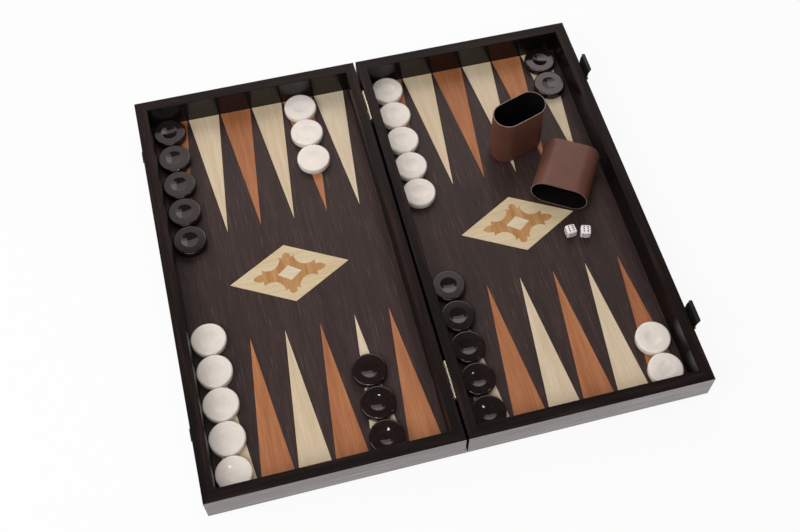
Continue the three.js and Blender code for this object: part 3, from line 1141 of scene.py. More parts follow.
@dataclass
class Tray:
    """One half of the case: four mitred rails, its panel and the inlaid field."""

    side: Side
    edge_radius: float = 0.5
    edge_steps: int = 4
    rebate: float = 6.0
    hairline: float = 0.03
    glue_line: float = 0.2
    panel_corner: float = 0.6
    panel_chamfer: float = 0.3
    points_per_row: int = 6
    point_pitch: float = 36.25
    point_base: float = 34.25
    point_length: float = 159.5
    inlay_edge: float = 0.3
    first_seed: int = 11
    seed_steps: tuple[int, int, int] = (7, 3, 29)
    diamond_half_width: float = 63.25
    diamond_half_depth: float = 35.0
    heart_half_width: float = 12.8
    heart_half_depth: float = 9.2

    def __post_init__(self) -> None:
        """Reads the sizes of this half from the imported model."""
        word = self.side.word
        self.outer = Box.of(f"{word}_outer_wall")
        self.hinge = Box.of(f"{word}_hinge_wall")
        self.veneer = Box.of(f"{word}_field_veneer")
        self.panel = Box.of(f"{word}_base_panel")
        self.middle_x = self.panel.centre.x
        self.field_half_depth = Box.of(f"{word}_back_wall").low.y

    def section(self, thickness: float) -> list[tuple[float, float]]:
        """The outline of a rail across its length.

        Args:
            thickness: The rail's thickness.

        Returns:
            Points from the outer face inwards and from the table up.
        """
        height, radius, steps = self.outer.high.z, self.edge_radius, self.edge_steps
        panel_top = self.veneer.low.z + self.inlay_edge
        flat = 2.0 * radius
        step = thickness - self.rebate
        points = [(radius, 0.0), (flat, 0.0), (step, 0.0), (step, panel_top)]
        points += [(thickness, panel_top), (thickness, height - flat)]
        points += arc((thickness - radius, height - radius), radius, 0.0, 90.0, steps)
        points += [(thickness - flat, height), (flat, height)]
        points += arc((radius, height - radius), radius, 90.0, 180.0, steps)
        points += [(0.0, height - flat), (0.0, flat)]
        points += arc((radius, radius), radius, 180.0, 270.0, steps)[:-1]
        return points

    def build_rail(
        self, place: str, inward: Vector, thickness: float, neighbours: tuple[float, float]
    ) -> None:
        """Adds one rail, mitred at both ends.

        Args:
            place: Which side of the tray it is.
            inward: The direction from its outer face into the tray.
            thickness: Its thickness.
            neighbours: The thickness of the rails that it meets at its start and at its end.
        """
        name, node = (f"{self.side.word}_{place}_{kind}" for kind in ("rail", "wall"))
        box = Box.of(node)
        along = inward.cross(UP)
        starts = [box.low[i] if inward[i] + along[i] > 0.5 else box.high[i] for i in range(2)]
        overlap = self.glue_line - self.hairline
        corner = Vector((*starts, 0.0)) - along * overlap
        length = abs(box.size.dot(along)) + 2.0 * overlap
        rings = []
        for is_start, neighbour in zip((True, False), neighbours):
            ring = []
            for depth, height in self.section(thickness):
                cut = depth * neighbour / thickness
                reach = cut if is_start else length - cut
                ring.append(corner + inward * depth + UP * height + along * reach)
            rings.append(ring)
        shell = bmesh.new()
        loft(shell, rings)
        margin = self.edge_radius / 8.0
        for face in shell.faces:
            depth = (face.calc_center_median() - corner).dot(inward)
            if len(face.verts) == 4 and depth < margin:
                face.material_index = RailFace.OUTSIDE
            elif len(face.verts) == 4 and depth > thickness - margin:
                face.material_index = RailFace.WELL
        grain = Axis.X if abs(along.x) > 0.5 else Axis.Y
        # The hinge rails' faces across the gap get the dark matt finish of the tops instead of the lacquer:
        # painted shade in the gap between the halves.
        outside = WENGE_TOP if place == "hinge" else WENGE_CASE
        # The inner faces get the darker satin wood, whose colour is painted shade inside the tray.
        finishes = [WENGE_TOP[grain], outside[grain], SATIN_SHADED_WENGE[grain]]
        seat(name, shell, self.side.body, finishes, [node])

    def build_rails(self) -> None:
        """Adds the four rails."""
        sign = float(self.side.value)
        wall, hinge = self.outer.size.x, self.hinge.size.x
        ends = (hinge, wall) if self.side is Side.RIGHT else (wall, hinge)
        self.build_rail("front", Vector((0, 1, 0)), wall, ends)
        self.build_rail("back", Vector((0, -1, 0)), wall, ends[::-1])
        self.build_rail("outer", Vector((-sign, 0, 0)), wall, (wall, wall))
        self.build_rail("hinge", Vector((sign, 0, 0)), hinge, (wall, wall))

    def build_panel(self) -> None:
        """Adds the panel under the field, veneered below as the outside of the shut case."""
        word = self.side.word
        top = Vector((*self.panel.high.xy, self.veneer.low.z))
        shell = bmesh.new()
        plate(shell, self.panel.low, top, Axis.Z, self.panel_corner, self.panel_chamfer)
        node = f"{word}_base_panel"
        seat(f"{word}_panel", shell, self.side.body, [WENGE_VENEER], [node])

    def dress_veneer(self) -> None:
        """Gives the dark sheet its wood; its shape with all its cut-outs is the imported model's."""
        name = f"{self.side.word}_field_veneer"
        for slot in bpy.data.objects[name].material_slots:
            slot.material = WENGE_VENEER.material()
        LOG.info("%s keeps its shape", name)

    def point_mesh(self, name: str, row: int) -> bpy.types.Mesh:
        """One point inlay with the middle of its base at X = 0.

        Args:
            name: The mesh's name.
            row: 1 for the back row, -1 for the front row.

        Returns:
            The mesh, in metres.
        """
        base = row * (self.field_half_depth - self.inlay_edge)
        tip = row * (self.field_half_depth - self.point_length)
        half = self.point_base / 2.0
        loop = [Vector((-half, base)), Vector((half, base)), Vector((0.0, tip))]
        return flat_outline(name, [loop], self.veneer.low.z, self.veneer.high.z)

    def build_points(self) -> None:
        """Adds both rows of points, in two woods by turns."""
        first = self.middle_x - (self.points_per_row - 1) / 2.0 * self.point_pitch
        turn_seed, row_seed, side_seed = self.seed_steps
        rows = ((1, "back", (MAHOGANY, MAPLE)), (-1, "front", (MAPLE, MAHOGANY)))
        for row, place, woods in rows:
            for turn, wood in enumerate(woods):
                name = f"{self.side.word}_{place}_{wood.name}"
                seed = turn_seed * turn + row_seed * row + side_seed * self.side.value
                values = {
                    "Start": ((first + turn * self.point_pitch) * MM, 0.0, 0.0),
                    "Step": (2.0 * self.point_pitch * MM, 0.0, 0.0),
                    "Count": self.points_per_row // 2,
                    "Seed": self.first_seed + seed,
                    "Material": wood.material(),
                }
                mesh = run_tree(self.point_mesh(name, row), row_tree(), values)
                seat(name, mesh, self.side.body, [wood])

    def lozenge(self, half_width: float, half_depth: float) -> list[Vector]:
        """The four corners of a lozenge about the middle of the field."""
        corners = ((-half_width, 0.0), (0.0, -half_depth), (half_width, 0.0), (0.0, half_depth))
        return [Vector((self.middle_x + x, y)) for x, y in corners]

    def ornament(self) -> list[Vector]:
        """The four-armed leaf ornament: hollow flanks, a barb on both sides of each arm, leaf tips.

        Returns:
            Its outline about the middle of the field.
        """
        long_leaf = bow((38.8, 0.0), (30.8, 4.6), -1.1, 5)
        long_barb = [(28.6, 4.2), (28.3, 9.8)]
        flank = bow((25.6, 8.0), (7.6, 17.8), 5.0, 9)
        short_barb = [(8.8, 20.8), (4.6, 18.6)]
        short_leaf = bow((4.2, 20.2), (0.0, 25.2), -1.4, 6)
        quarter = [*long_leaf, *long_barb, *flank, *short_barb, *short_leaf]
        points = list(quarter)
        points += [(-x, y) for x, y in reversed(quarter[:-1])]
        points += [(x, -y) for x, y in reversed(points[1:-1])]
        return [Vector((self.middle_x + x, y)) for x, y in points]

    def build_diamond(self) -> None:
        """Adds the diamond: a maple lozenge, the ornament let into it, and a pale lozenge in that."""
        low, high = self.veneer.low.z, self.veneer.high.z
        outer = self.lozenge(self.diamond_half_width, self.diamond_half_depth)
        leaf = self.ornament()
        heart = self.lozenge(self.heart_half_width, self.heart_half_depth)
        for part, loops, wood in (
            ("diamond_field", [outer, leaf], MAPLE_ACROSS),
            ("diamond_ornament", [leaf, heart], ORNAMENT_WALNUT),
            ("diamond_heart", [heart], HOLLY),
        ):
            name = f"{self.side.word}_{part}"
            mesh = flat_outline(name, loops, low, high)
            seat(name, mesh, self.side.body, [wood])

    def build(self) -> None:
        """Adds everything of this half that is made of wood."""
        self.build_rails()
        self.build_panel()
        self.dress_veneer()
        self.build_points()
        self.build_diamond()


# Hardware


@dataclass
class ButtHinge:
    """A small brass hinge that lies in the gap between the halves."""

    place: str
    sheet: float = 0.5
    leaf_corner: float = 0.6
    barrel_share: float = 0.6
    knuckle_gap: float = 0.3
    tab_overlap: float = 0.5
    chamfer: float = 0.12
    screw_diameter: float = 3.4
    screw_sink: float = 0.45
    screws_per_leaf: int = 3
    slot: str = "hinge_brass"

    def build(self) -> None:
        """Adds both leaves with their knuckles and screws, and the pin."""
        node = f"hinge_{self.place}_pin"
        pin = Box.of(node)
        axis, length = pin.centre, pin.size.y
        third = length / 3.0
        end_length = third - self.knuckle_gap
        end_offset = (length - end_length) / 2.0
        spans = {
            Side.RIGHT: [(-end_offset, end_length), (end_offset, end_length)],
            Side.LEFT: [(0.0, third)],
        }
        for side, knuckles in spans.items():
            self.build_leaf(side, axis, knuckles)
        shell = bmesh.new()
        rod(shell, axis, pin.size.z, length, self.chamfer)
        seat(f"hinge_{self.place}_rod", shell, RIGHT_HALF, [HINGE_BRASS], [node])

    def build_leaf(self, side: Side, axis: Vector, knuckles: Sequence[tuple[float, float]]) -> None:
        """Adds one leaf with its knuckles and its screws.

        Args:
            side: The half that it is screwed to.
            axis: The middle of the hinge's axis.
            knuckles: Offset along the axis and length of each of its knuckles.
        """
        stem = f"hinge_{self.place}_{side.word}"
        box = Box.of(f"{stem}_leaf")
        sign = side.value
        room = box.high.z - axis.z
        radius = self.barrel_share * room
        face = sign * (box.size.x - room)
        inner = face - sign * self.sheet
        low = Vector((min(face, inner), box.low.y, box.low.z))
        high = Vector((max(face, inner), box.high.y, axis.z - room - self.knuckle_gap))
        shell = bmesh.new()
        plate(shell, low, high, Axis.X, self.leaf_corner, self.chamfer)
        for offset, length in knuckles:
            rod(shell, axis + Vector((0.0, offset, 0.0)), 2.0 * radius, length, self.chamfer)
            start = axis.y + offset - length / 2.0
            end = axis.y + offset + length / 2.0
            rings = []
            for outside, height in ((face, high.z - self.tab_overlap), (sign * radius, axis.z)):
                inside = outside - sign * self.sheet
                corners = ((outside, start), (inside, start), (inside, end), (outside, end))
                rings.append([Vector((x, y, height)) for x, y in corners])
            loft(shell, rings)
        seat(f"{stem}_plate", shell, side.body, [HINGE_BRASS], [f"{stem}_leaf"])
        seat_x = face - sign * (self.sheet - self.screw_sink)
        pitch = box.size.y / self.screws_per_leaf
        middle = (self.screws_per_leaf - 1) / 2.0
        height = (low.z + high.z) / 2.0
        places = [
            Vector((seat_x, box.centre.y + (i - middle) * pitch, height))
            for i in range(self.screws_per_leaf)
        ]
        kind = Screws(self.screw_diameter, (0.0, -90.0 * sign, 0.0), self.slot, SCREW_BRASS)
        kind.build(f"{stem}_screws", places, side.body)


@dataclass
class Latch:
    """A hook latch: a base on the right half's outer wall and a lever that turns in it."""

    place: str
    sheet: float = 1.2
    tongue: float = 13.4
    clearance: float = 0.4
    barrel: float = 3.4
    barrel_chamfer: float = 0.2
    base_corner: float = 1.4
    strap_corner: float = 0.3
    strap_overlap: float = 1.0
    chamfer: float = 0.15
    screw_diameter: float = 3.4
    screw_offset: float = 7.0
    lean_deg: float = 5.0
    flare: float = 1.2
    bend: float = 10.0
    stand_off: float = 0.3
    lip_deg: float = 19.0
    lip: float = 6.2
    bead: float = 1.4
    bead_reach: float = 1.9
    corner: float = 1.4
    soft_edge: float = 0.2
    slot: str = "black_metal"

    def __post_init__(self) -> None:
        """Reads the latch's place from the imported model."""
        self.stem = f"latch_{self.place}"
        self.pin = Box.of(f"{self.stem}_pin")
        self.base = Box.of(f"{self.stem}_base")
        self.axis = self.pin.centre
        self.half_width = self.pin.size.y / 2.0
        self.shoulder = self.barrel / 2.0 + self.clearance
        self.top = self.bend + self.lip
        self.bead_start = self.top - self.bead - self.clearance

    def build(self) -> None:
        """Adds the base, its pin and screws, and the lever."""
        self.build_base()
        self.build_lever()

    def build_base(self) -> None:
        """Adds the base with its two ears, the pin and the screws."""
        low, stem = self.base.low, self.stem
        front = low.x + self.sheet
        high = Vector((front, self.base.high.y, self.axis.z - self.shoulder))
        shell = bmesh.new()
        plate(shell, low, high, Axis.X, self.base_corner, self.chamfer)
        ear = self.half_width - self.tongue / 2.0 - self.clearance
        for sign in (-1.0, 1.0):
            middle = self.axis + Vector((0.0, sign * (self.half_width - ear / 2.0), 0.0))
            rod(shell, middle, self.barrel, ear, self.barrel_chamfer)
            strap_low = Vector((low.x, middle.y - ear / 2.0, high.z - self.strap_overlap))
            strap_high = Vector((front, middle.y + ear / 2.0, self.axis.z))
            plate(shell, strap_low, strap_high, Axis.X, self.strap_corner, self.chamfer)
        seat(f"{stem}_plate", shell, RIGHT_HALF, [BLACK_ENAMEL], [f"{stem}_base"])
        shell = bmesh.new()
        rod(shell, self.axis, self.pin.size.z, self.pin.size.y, self.chamfer)
        seat(f"{stem}_rod", shell, RIGHT_HALF, [SCREW_STEEL], [f"{stem}_pin"])
        height = (low.z + high.z) / 2.0
        places = [
            Vector((front, self.axis.y + sign * self.screw_offset, height)) for sign in (-1.0, 1.0)
        ]
        kind = Screws(self.screw_diameter, (0.0, 90.0, 0.0), self.slot, SCREW_STEEL)
        kind.build(f"{stem}_screws", places, RIGHT_HALF)

    def half_width_at(self, height: float) -> float:
        """The lever's half width.

        Args:
            height: How far along the lever, from the pivot.

        Returns:
            The half width there: a narrow tongue, a flared shoulder, and rounded corners at the tip.
        """
        narrow, wide = self.tongue / 2.0, self.half_width
        if height < self.shoulder:
            return narrow
        if height < self.shoulder + self.flare:
            share = (height - self.shoulder) / self.flare
            return narrow + (wide - narrow) * math.sqrt(1.0 - (1.0 - share) ** 2)
        left = self.top - height
        if left < self.corner:
            return wide - self.corner + math.sqrt(max(self.corner**2 - (self.corner - left) ** 2, 0.0))
        return wide

    def stations(self) -> list[float]:
        """Distances along the lever at which it gets a ring of points.

        Returns:
            The distances from the pivot, closer together at the flare, the bead and the corners.
        """
        just_below = 0.01
        blade_shares, lip_shares = (0.5, 0.9, 1.0), (0.2, 0.6)
        flare_steps, bead_steps, corner_steps = 5, 6, 6
        straight = self.bead_start - self.bend
        found = [0.0, self.shoulder - just_below]
        found += [self.shoulder + self.flare * i / flare_steps for i in range(flare_steps + 1)]
        found += [self.bend * share for share in blade_shares]
        found += [self.bend + straight * share for share in lip_shares]
        found += [self.bead_start + self.bead * i / bead_steps for i in range(bead_steps + 1)]
        turns = [math.radians(90.0 * i / corner_steps) for i in range(corner_steps + 1)]
        found += [self.top - self.corner + self.corner * math.sin(turn) for turn in turns]
        return sorted(set(found))

    def build_lever(self) -> None:
        """Adds the lever: a blade off the side of its barrel, with its lip bent out and a bead inside."""
        half, soft = self.sheet / 2.0, self.soft_edge
        lip = math.radians(self.lip_deg)
        rings = []
        for height in self.stations():
            past = max(height - self.bend, 0.0)
            x = self.stand_off + half - self.barrel / 2.0 + past * math.sin(lip)
            z = min(height, self.bend) + past * math.cos(lip)
            share = (height - self.bead_start) / self.bead
            bump = self.bead_reach * math.sin(math.pi * share) if 0.0 < share < 1.0 else 0.0
            wide = self.half_width_at(height)
            inner, outer = x - half - bump, x + half
            corners = (
                (outer - soft, wide), (inner + soft, wide), (inner, wide - soft), (inner, soft - wide),
                (inner + soft, -wide), (outer - soft, -wide), (outer, soft - wide), (outer, wide - soft),
            )
            rings.append([Vector((across, along, z)) for across, along in corners])
        shell = bmesh.new()
        loft(shell, rings)
        rod(shell, Vector((0.0, 0.0, 0.0)), self.barrel, self.tongue, self.barrel_chamfer)
        lean = Matrix.Translation(self.axis) @ Matrix.Rotation(math.radians(self.lean_deg), 4, "Y")
        bmesh.ops.transform(shell, matrix=lean, verts=shell.verts)
        stem = self.stem
        seat(f"{stem}_blade", shell, stem, [BLACK_ENAMEL], [f"{stem}_lever"])


@dataclass
class Keeper:
    """The small plate on the left half's outer wall that a latch hooks behind."""

    place: str
    sheet: float = 0.8
    corner: float = 0.8
    chamfer: float = 0.12
    nose: float = 2.0
    nose_corner: float = 0.3
    nose_chamfer: float = 0.2
    screw_diameter: float = 2.6
    screw_sink: float = 0.3
    screw_offset: float = 3.4
    slot: str = "black_metal"

    def build(self) -> None:
        """Adds the plate with its nose, and its screws."""
        node = f"keeper_{self.place}"
        box = Box.of(node)
        wall, nose_top = box.high.x, box.low.z + self.nose
        low = Vector((wall - self.sheet, box.low.y, box.low.z))
        nose_high = Vector((wall - self.sheet / 2.0, box.high.y, nose_top))
        shell = bmesh.new()
        plate(shell, low, box.high, Axis.X, self.corner, self.chamfer)
        plate(shell, box.low, nose_high, Axis.X, self.nose_corner, self.nose_chamfer)
        seat(f"{node}_plate", shell, LEFT_HALF, [BLACK_ENAMEL], [node])
        seat_x = wall - self.sheet + self.screw_sink
        height = (nose_top + box.high.z) / 2.0
        places = [
            Vector((seat_x, box.centre.y + sign * self.screw_offset, height)) for sign in (-1.0, 1.0)
        ]
        kind = Screws(self.screw_diameter, (0.0, -90.0, 0.0), self.slot, SCREW_STEEL)
        kind.build(f"{node}_screws", places, LEFT_HALF)


# Playing pieces


class CheckerFace(IntEnum):
    """The faces of a checker by their material numbers."""

    POLISHED = 0
    LAPPED = 1


@dataclass
class Checkers:
    """Thirty turned discs with a dish in both faces."""

    per_colour: int = 15
    edge: float = 1.8
    edge_steps: int = 7
    dish_diameter: float = 18.0
    dish_depth: float = 1.1
    dish_steps: int = 8
    shoulder: float = 0.35
    sides: int = 72

    def profile(self, radius: float, thickness: float) -> list[tuple[float, float]]:
        """Half a section from the middle of the underside to the middle of the top.

        Args:
            radius: The checker's radius.
            thickness: The checker's thickness.

        Returns:
            Radius and height pairs.
        """
        dish = self.dish_diameter / 2.0
        shares = [i / self.dish_steps for i in range(self.dish_steps + 1)]
        face = [(dish * share, -self.dish_depth * (1.0 - share**2)) for share in shares]
        face += [(dish + self.shoulder, 0.0), (dish + 2.0 * self.shoulder, 0.0)]
        face += [(radius - self.edge - self.shoulder, 0.0), (radius - self.edge, 0.0)]
        face += arc((radius - self.edge, -self.edge), self.edge, 90.0, 0.0, self.edge_steps)[1:]
        lower = [(r, -h) for r, h in face]
        upper = [(r, thickness + h) for r, h in face]
        return lower + upper[::-1]

    def build_disc(self, colour: str, number: int, finishes: Sequence[Resin]) -> None:
        """Adds one checker in its place.

        Args:
            colour: Its colour, black or white.
            number: Its number among those of its colour.
            finishes: The finish of its dish and edge, and that of its flat ring.
        """
        node = f"{colour}_checker_{number:02d}"
        box = Box.of(node)
        radius = box.size.y / 2.0
        shell = bmesh.new()
        loft(shell, [circle(r, z, self.sides) for r, z in self.profile(radius, box.size.z)])
        for face in shell.faces:
            reach = face.calc_center_median().xy.length
            if self.dish_diameter / 2.0 + self.shoulder < reach < radius - self.edge:
                face.material_index = CheckerFace.LAPPED
        place = Matrix.Translation((box.centre.x, box.centre.y, box.low.z))
        bmesh.ops.transform(shell, matrix=place, verts=shell.verts)
        body = f"{colour}_{number:02d}"
        seat(f"{colour}_disc_{number:02d}", shell, body, finishes, [node])

    def build(self) -> None:
        """Adds every checker."""
        finishes = {"black": (BLACK_RESIN, BLACK_LAPPED), "white": (PEARL_RESIN, PEARL_LAPPED)}
        for colour, pair in finishes.items():
            for number in range(1, self.per_colour + 1):
                self.build_disc(colour, number, pair)


@dataclass
class Die:
    """A small die with rounded edges and sunk, inked pips."""

    number: int
    turn_deg: float
    edge: float = 1.9
    edge_steps: int = 4
    pip_diameter: float = 2.1
    pip_sink: float = 0.55
    pip_spread: float = 0.24
    six_columns: float = 0.8

    def pips(self) -> list[tuple[Vector, Vector]]:
        """Where the pips are on a die of unit size: six on top, and opposite faces make seven.

        Returns:
            The middle of each pip on its face, and the direction that the face looks in.
        """
        corners = [(-1, -1), (1, 1)]
        fours = [*corners, (-1, 1), (1, -1)]
        sixes = [(a * self.six_columns, b) for a in (-1, 1) for b in (-1, 0, 1)]
        faces = (
            (Vector((0, 0, 1)), sixes),
            (Vector((0, 0, -1)), [(0, 0)]),
            (Vector((0, -1, 0)), [*fours, (0, 0)]),
            (Vector((0, 1, 0)), corners),
            (Vector((-1, 0, 0)), fours),
            (Vector((1, 0, 0)), [*corners, (0, 0)]),
        )
        found = []
        for normal, places in faces:
            across = Vector((0, 1, 0)) if normal.x else Vector((1, 0, 0))
            along = normal.cross(across)
            for a, b in places:
                found.append((normal * 0.5 + (across * a + along * b) * self.pip_spread, normal))
        return found

    def build(self) -> None:
        """Adds the die."""
        node = f"die_{self.number}"
        box = Box.of(node)
        size = box.size.z
        shell = bmesh.new()
        bmesh.ops.create_cube(shell, size=size)
        bmesh.ops.bevel(
            shell, geom=shell.edges[:], offset=self.edge, segments=self.edge_steps, profile=0.5,
            affect="EDGES",
        )
        lift = self.pip_diameter / 2.0 - self.pip_sink
        is_pip = shell.verts.layers.bool.new("pip")
        for place, normal in self.pips():
            shell.verts.new(place * size + normal * lift)[is_pip] = True
        turn = Matrix.Rotation(math.radians(self.turn_deg), 4, "Z")
        bmesh.ops.transform(shell, matrix=Matrix.Translation(box.centre) @ turn, verts=shell.verts)
        blank = finished_mesh(f"{node}_blank", shell)
        blank.materials.append(IVORY_ACRYLIC.material())
        values = {
            "Diameter": self.pip_diameter * MM,
            "Body": IVORY_ACRYLIC.material(),
            "Ink": PIP_INK.material(),
        }
        mesh = smooth(run_tree(blank, pip_tree(), values))
        seat(f"{node}_cube", mesh, node, [IVORY_ACRYLIC, PIP_INK], [node])


class Pose(Enum):
    """How a cup is left on the board."""

    STANDING = "standing"
    LYING = "lying"


class CupFace(IntEnum):
    """The faces of a cup by their material numbers."""

    COVER = 0
    CUT_EDGE = 1
    LINING = 2


@dataclass
class Cup:
    """An oval dice cup: a covered board shell with a cut rim and a flocked lining."""

    pose: Pose
    turn_deg: float
    length: float = 63.0
    width: float = 33.5
    height: float = 64.0
    skin: float = 2.0
    floor: float = 2.5
    floor_radius: float = 2.0
    floor_cove: float = 0.6
    foot_radius: float = 1.6
    foot_steps: int = 5
    rim_radius: float = 0.45
    rim_steps: int = 4
    cut_edge: float = 0.55
    lining_roll: tuple[float, float] = (0.5, 0.15)
    lining_drop: float = 1.2
    end_steps: int = 28

    def oval(self, inset: float, z: float) -> list[Vector]:
        """The cup's outline at a height.

        Args:
            inset: How far inside the outer face.
            z: The height above the foot.

        Returns:
            A ring of points: two half circles and the straights between them.
        """
        radius = self.width / 2.0 - inset
        straight = (self.length - self.width) / 2.0
        points = arc((straight, 0.0), radius, -90.0, 90.0, self.end_steps)
        points += arc((-straight, 0.0), radius, 90.0, 270.0, self.end_steps)
        return [Vector((x, y, z)) for x, y in points]

    def place(self) -> Matrix:
        """Where the cup is.

        Returns:
            The move from its own frame, foot down, to the board's.
        """
        box = Box.of(f"dice_cup_{self.pose.value}")
        turn = math.radians(self.turn_deg)
        if self.pose is Pose.STANDING:
            foot = Vector((box.centre.x, box.centre.y, box.low.z))
            return Matrix.Translation(foot) @ Matrix.Rotation(turn, 4, "Z")
        mouth = Vector((-math.cos(turn), -math.sin(turn), 0.0))
        turned = Matrix((UP.cross(mouth), UP, mouth)).transposed().to_4x4()
        return Matrix.Translation(box.centre - mouth * (self.height / 2.0)) @ turned

    def profile(self) -> dict[CupFace, list[tuple[float, float]]]:
        """Half a section of the cup's wall.

        Returns:
            Inset and height pairs of each kind of face, from the foot over the rim to the floor.
        """
        foot, rim, top = self.foot_radius, self.rim_radius, self.height
        skin, floor = self.skin, self.floor
        cover = [(foot - a, foot - b) for a, b in arc((0.0, 0.0), foot, 90.0, 0.0, self.foot_steps)]
        cover += [(0.0, 2.0 * foot), (0.0, top - 2.0 * rim), (0.0, top - rim)]
        curl = arc((0.0, 0.0), rim, 0.0, 90.0, self.rim_steps)[1:]
        cover += [(rim - a, top - rim + b) for a, b in curl]
        fold = rim + self.cut_edge
        roll_in, roll_down = self.lining_roll
        lining = [(fold, top), (fold + roll_in, top - roll_down), (skin, top - self.lining_drop)]
        lining += [(skin, top / 2.0), (skin, floor + self.floor_radius)]
        lining += [(skin + self.floor_cove, floor + self.floor_cove), (skin + self.floor_radius, floor)]
        return {CupFace.COVER: cover, CupFace.CUT_EDGE: [(rim, top), (fold, top)], CupFace.LINING: lining}

    def build(self) -> None:
        """Adds the cup with its lining."""
        profile = self.profile()
        shell = bmesh.new()
        for kind, stations in profile.items():
            loft(shell, [self.oval(inset, z) for inset, z in stations], kind, capped=False)
        ends = ((profile[CupFace.COVER][0], CupFace.COVER), (profile[CupFace.LINING][-1], CupFace.LINING))
        for (inset, z), kind in ends:
            face = shell.faces.new([shell.verts.new(point) for point in self.oval(inset, z)])
            face.material_index = kind
        bmesh.ops.remove_doubles(shell, verts=shell.verts, dist=MERGE_MM)
        bmesh.ops.transform(shell, matrix=self.place(), verts=shell.verts)
        body, node = f"cup_{self.pose.value}", f"dice_cup_{self.pose.value}"
        # The lining's near-black colour is partly the flock's own, partly painted shade inside the cup.
        finishes = [CUP_LEATHERETTE, CUP_EDGE, CUP_FLOCK_AND_SHADE]
        seat(f"{body}_shell", shell, body, finishes, [node])


# Stage


@dataclass(frozen=True)
class SoftBox:
    """A rectangular studio lamp."""

    name: str
    place: tuple[float, float, float]
    size: tuple[float, float]
    radiance: float
    aim: tuple[float, float, float] = (0.0, 0.0, 0.0)
    tint: str = "ffffff"

    def build(self) -> None:
        """Adds the lamp; its power follows from how bright its face is."""
        lamp = bpy.data.lights.new(self.name, "AREA")
        lamp.shape = "RECTANGLE"
        lamp.color = linear(self.tint)[:3]
        lamp.size, lamp.size_y = self.size[0] * MM, self.size[1] * MM
        lamp.energy = self.radiance * math.pi * lamp.size * lamp.size_y
        holder = add_object(self.name, lamp)
        start, target = Vector(self.place) * MM, Vector(self.aim) * MM
        holder.location = start
        holder.rotation_euler = (target - start).to_track_quat("-Z", "Y").to_euler()
        holder.visible_camera = False


WARM_WHITE = "fff3ee"
# Two warm panels behind the board, two large soft boxes on the photographer's side, and two small
# strobes overhead that give the black checkers their points of light.
LAMPS = (
    SoftBox(
        "back_softbox", place=(300.0, 907.0, 1104.0), aim=(300.0, 0.0, 408.0), size=(840.0, 810.0),
        radiance=1.4, tint=WARM_WHITE,
    ),
    SoftBox(
        "back_wall", place=(0.0, 1168.0, 803.0), aim=(0.0, 243.0, 93.0), size=(2200.0, 1060.0),
        radiance=1.2, tint=WARM_WHITE,
    ),
    SoftBox("left_softbox", place=(-1250.0, -250.0, 1000.0), size=(900.0, 900.0), radiance=2.8),
    SoftBox("front_softbox", place=(-900.0, -1350.0, 2000.0), size=(2300.0, 1300.0), radiance=3.05),
    SoftBox("left_strobe", place=(-150.0, -150.0, 1180.0), size=(80.0, 80.0), radiance=40.0),
    SoftBox("right_strobe", place=(440.0, -120.0, 1180.0), size=(80.0, 80.0), radiance=24.0),
)


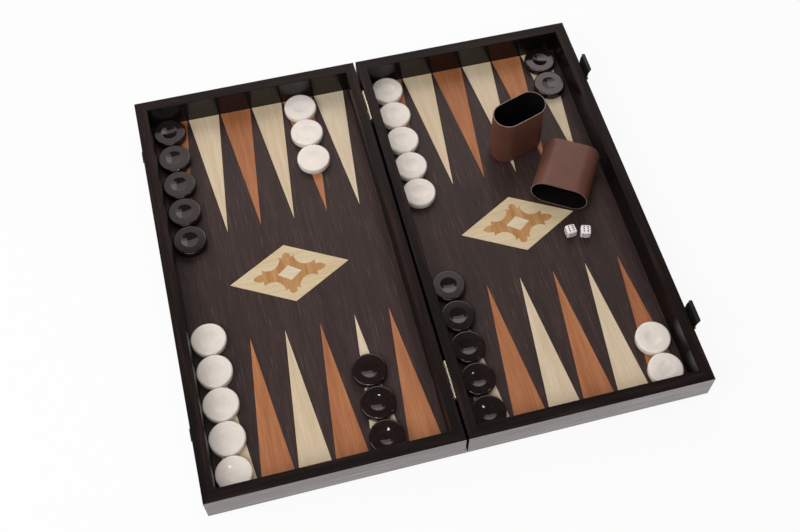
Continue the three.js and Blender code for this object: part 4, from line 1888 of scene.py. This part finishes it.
@dataclass(frozen=True)
class Studio:
    """A pale table, soft lamps, and a camera where the photographer stood."""

    image_px: tuple[float, float] = (800.0, 532.0)
    focal_px: float = 1117.83
    centre_px: tuple[float, float] = (427.44, 273.73)
    camera_place: tuple[float, float, float] = (-155.45, -601.03, 1024.02)
    camera_turn_deg: tuple[float, float, float] = (29.995, -1.058, -14.920)
    sensor: float = 36.0
    farthest_m: float = 50.0
    table_half: float = 4000.0
    table_drop: float = 0.2
    table_colour: str = "f4f4f4"
    table_glow: float = 0.9
    gap: tuple[float, float] = (1.6, 238.5)
    gap_edge: float = 0.99
    sky: float = 0.14

    def build_camera(self) -> None:
        """Adds the camera with the photograph's lens and framing."""
        width, height = self.image_px
        lens = bpy.data.cameras.new("camera")
        lens.sensor_fit = "HORIZONTAL"
        lens.sensor_width = self.sensor
        lens.lens = self.focal_px * self.sensor / width
        lens.shift_x = (width / 2.0 - self.centre_px[0]) / width
        lens.shift_y = (self.centre_px[1] - height / 2.0) / width
        lens.clip_end = self.farthest_m
        camera = add_object("camera", lens)
        camera.location = Vector(self.camera_place) * MM
        camera.rotation_euler = tuple(math.radians(angle) for angle in self.camera_turn_deg)
        bpy.context.scene.camera = camera

    def table_material(self) -> bpy.types.Material:
        """White paint that also glows for the eye and in reflections, apart from under the gap.

        Returns:
            The material.
        """
        material, tree = bare_material("white_table_top")
        paint = add_node(tree, "ShaderNodeBsdfDiffuse", {"Color": linear(self.table_colour)})
        glow = add_node(tree, "ShaderNodeEmission", {"Strength": 1.0})
        path = add_node(tree, "ShaderNodeLightPath")
        seen = path.outputs["Is Camera Ray"]
        for kind in ("Is Glossy Ray", "Is Transmission Ray"):
            seen = add_node(
                tree, "ShaderNodeMath", {0: seen, 1: path.outputs[kind]}, operation="MAXIMUM"
            )
        share = add_node(
            tree, "ShaderNodeMath", {0: seen, 1: self.clear_of_gap(tree)}, operation="MULTIPLY"
        )
        mixed = add_node(tree, "ShaderNodeMixShader", {0: share, 1: paint, 2: glow})
        add_node(tree, "ShaderNodeOutputMaterial", {"Surface": mixed})
        return material

    def clear_of_gap(self, tree: bpy.types.NodeTree) -> bpy.types.Node:
        """The share of the table's glow: none under the gap between the halves, where little light falls.

        Args:
            tree: The table's tree.

        Returns:
            The share, from 0 to the table's glow.
        """
        place = add_node(tree, "ShaderNodeTexCoord").outputs["Object"]
        distance = add_node(tree, "ShaderNodeVectorMath", {0: place}, operation="ABSOLUTE")
        half_x, half_y = self.gap
        scale = (1.0 / (half_x * MM), 1.0 / (half_y * MM), 0.0)
        scaled = add_node(tree, "ShaderNodeVectorMath", {0: distance, 1: scale}, operation="MULTIPLY")
        sides = add_node(tree, "ShaderNodeSeparateXYZ", {0: scaled}).outputs
        reach = add_node(tree, "ShaderNodeMath", {0: sides["X"], 1: sides["Y"]}, operation="MAXIMUM")
        return add_node(
            tree, "ShaderNodeMapRange",
            {"Value": reach, "From Min": self.gap_edge, "From Max": 1.0, "To Max": self.table_glow},
        )

    def build_table(self) -> None:
        """Adds the table top, which reads as white and keeps the object's shadow."""
        half, z = self.table_half * MM, -self.table_drop * MM
        mesh = bpy.data.meshes.new("table_top")
        corners = [(-half, -half, z), (half, -half, z), (half, half, z), (-half, half, z)]
        mesh.from_pydata(corners, [], [(0, 1, 2, 3)])
        mesh.materials.append(self.table_material())
        add_object("table_top", mesh)

    def build_light(self) -> None:
        """Adds the lamps and a dim, even surround."""
        world = bpy.data.worlds.new("studio")
        world.use_nodes = True
        tree = world.node_tree
        tree.nodes.clear()
        path = add_node(tree, "ShaderNodeLightPath")
        strength = add_node(
            tree, "ShaderNodeMapRange",
            {"Value": path.outputs["Is Camera Ray"], "To Min": self.sky, "To Max": 1.0},
        )
        backdrop = add_node(
            tree, "ShaderNodeBackground", {"Color": (1.0, 1.0, 1.0, 1.0), "Strength": strength}
        )
        add_node(tree, "ShaderNodeOutputWorld", {"Surface": backdrop})
        bpy.context.scene.world = world
        for lamp in LAMPS:
            lamp.build()

    def build(self) -> None:
        """Adds the camera, the table and the light."""
        self.build_camera()
        self.build_table()
        self.build_light()
        bpy.context.scene.view_settings.view_transform = "Standard"


def main() -> None:
    """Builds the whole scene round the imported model."""
    logging.basicConfig(level=logging.INFO, format="%(name)s: %(message)s")
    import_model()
    Studio().build()
    for side in Side:
        Tray(side).build()
    for place in ("back", "front"):
        ButtHinge(place).build()
        Latch(place).build()
        Keeper(place).build()
    Checkers().build()
    Die(1, turn_deg=2.7).build()
    Die(2, turn_deg=-16.5).build()
    Cup(Pose.STANDING, turn_deg=18.0).build()
    Cup(Pose.LYING, turn_deg=58.0).build()


if __name__ == "__main__":
    main()
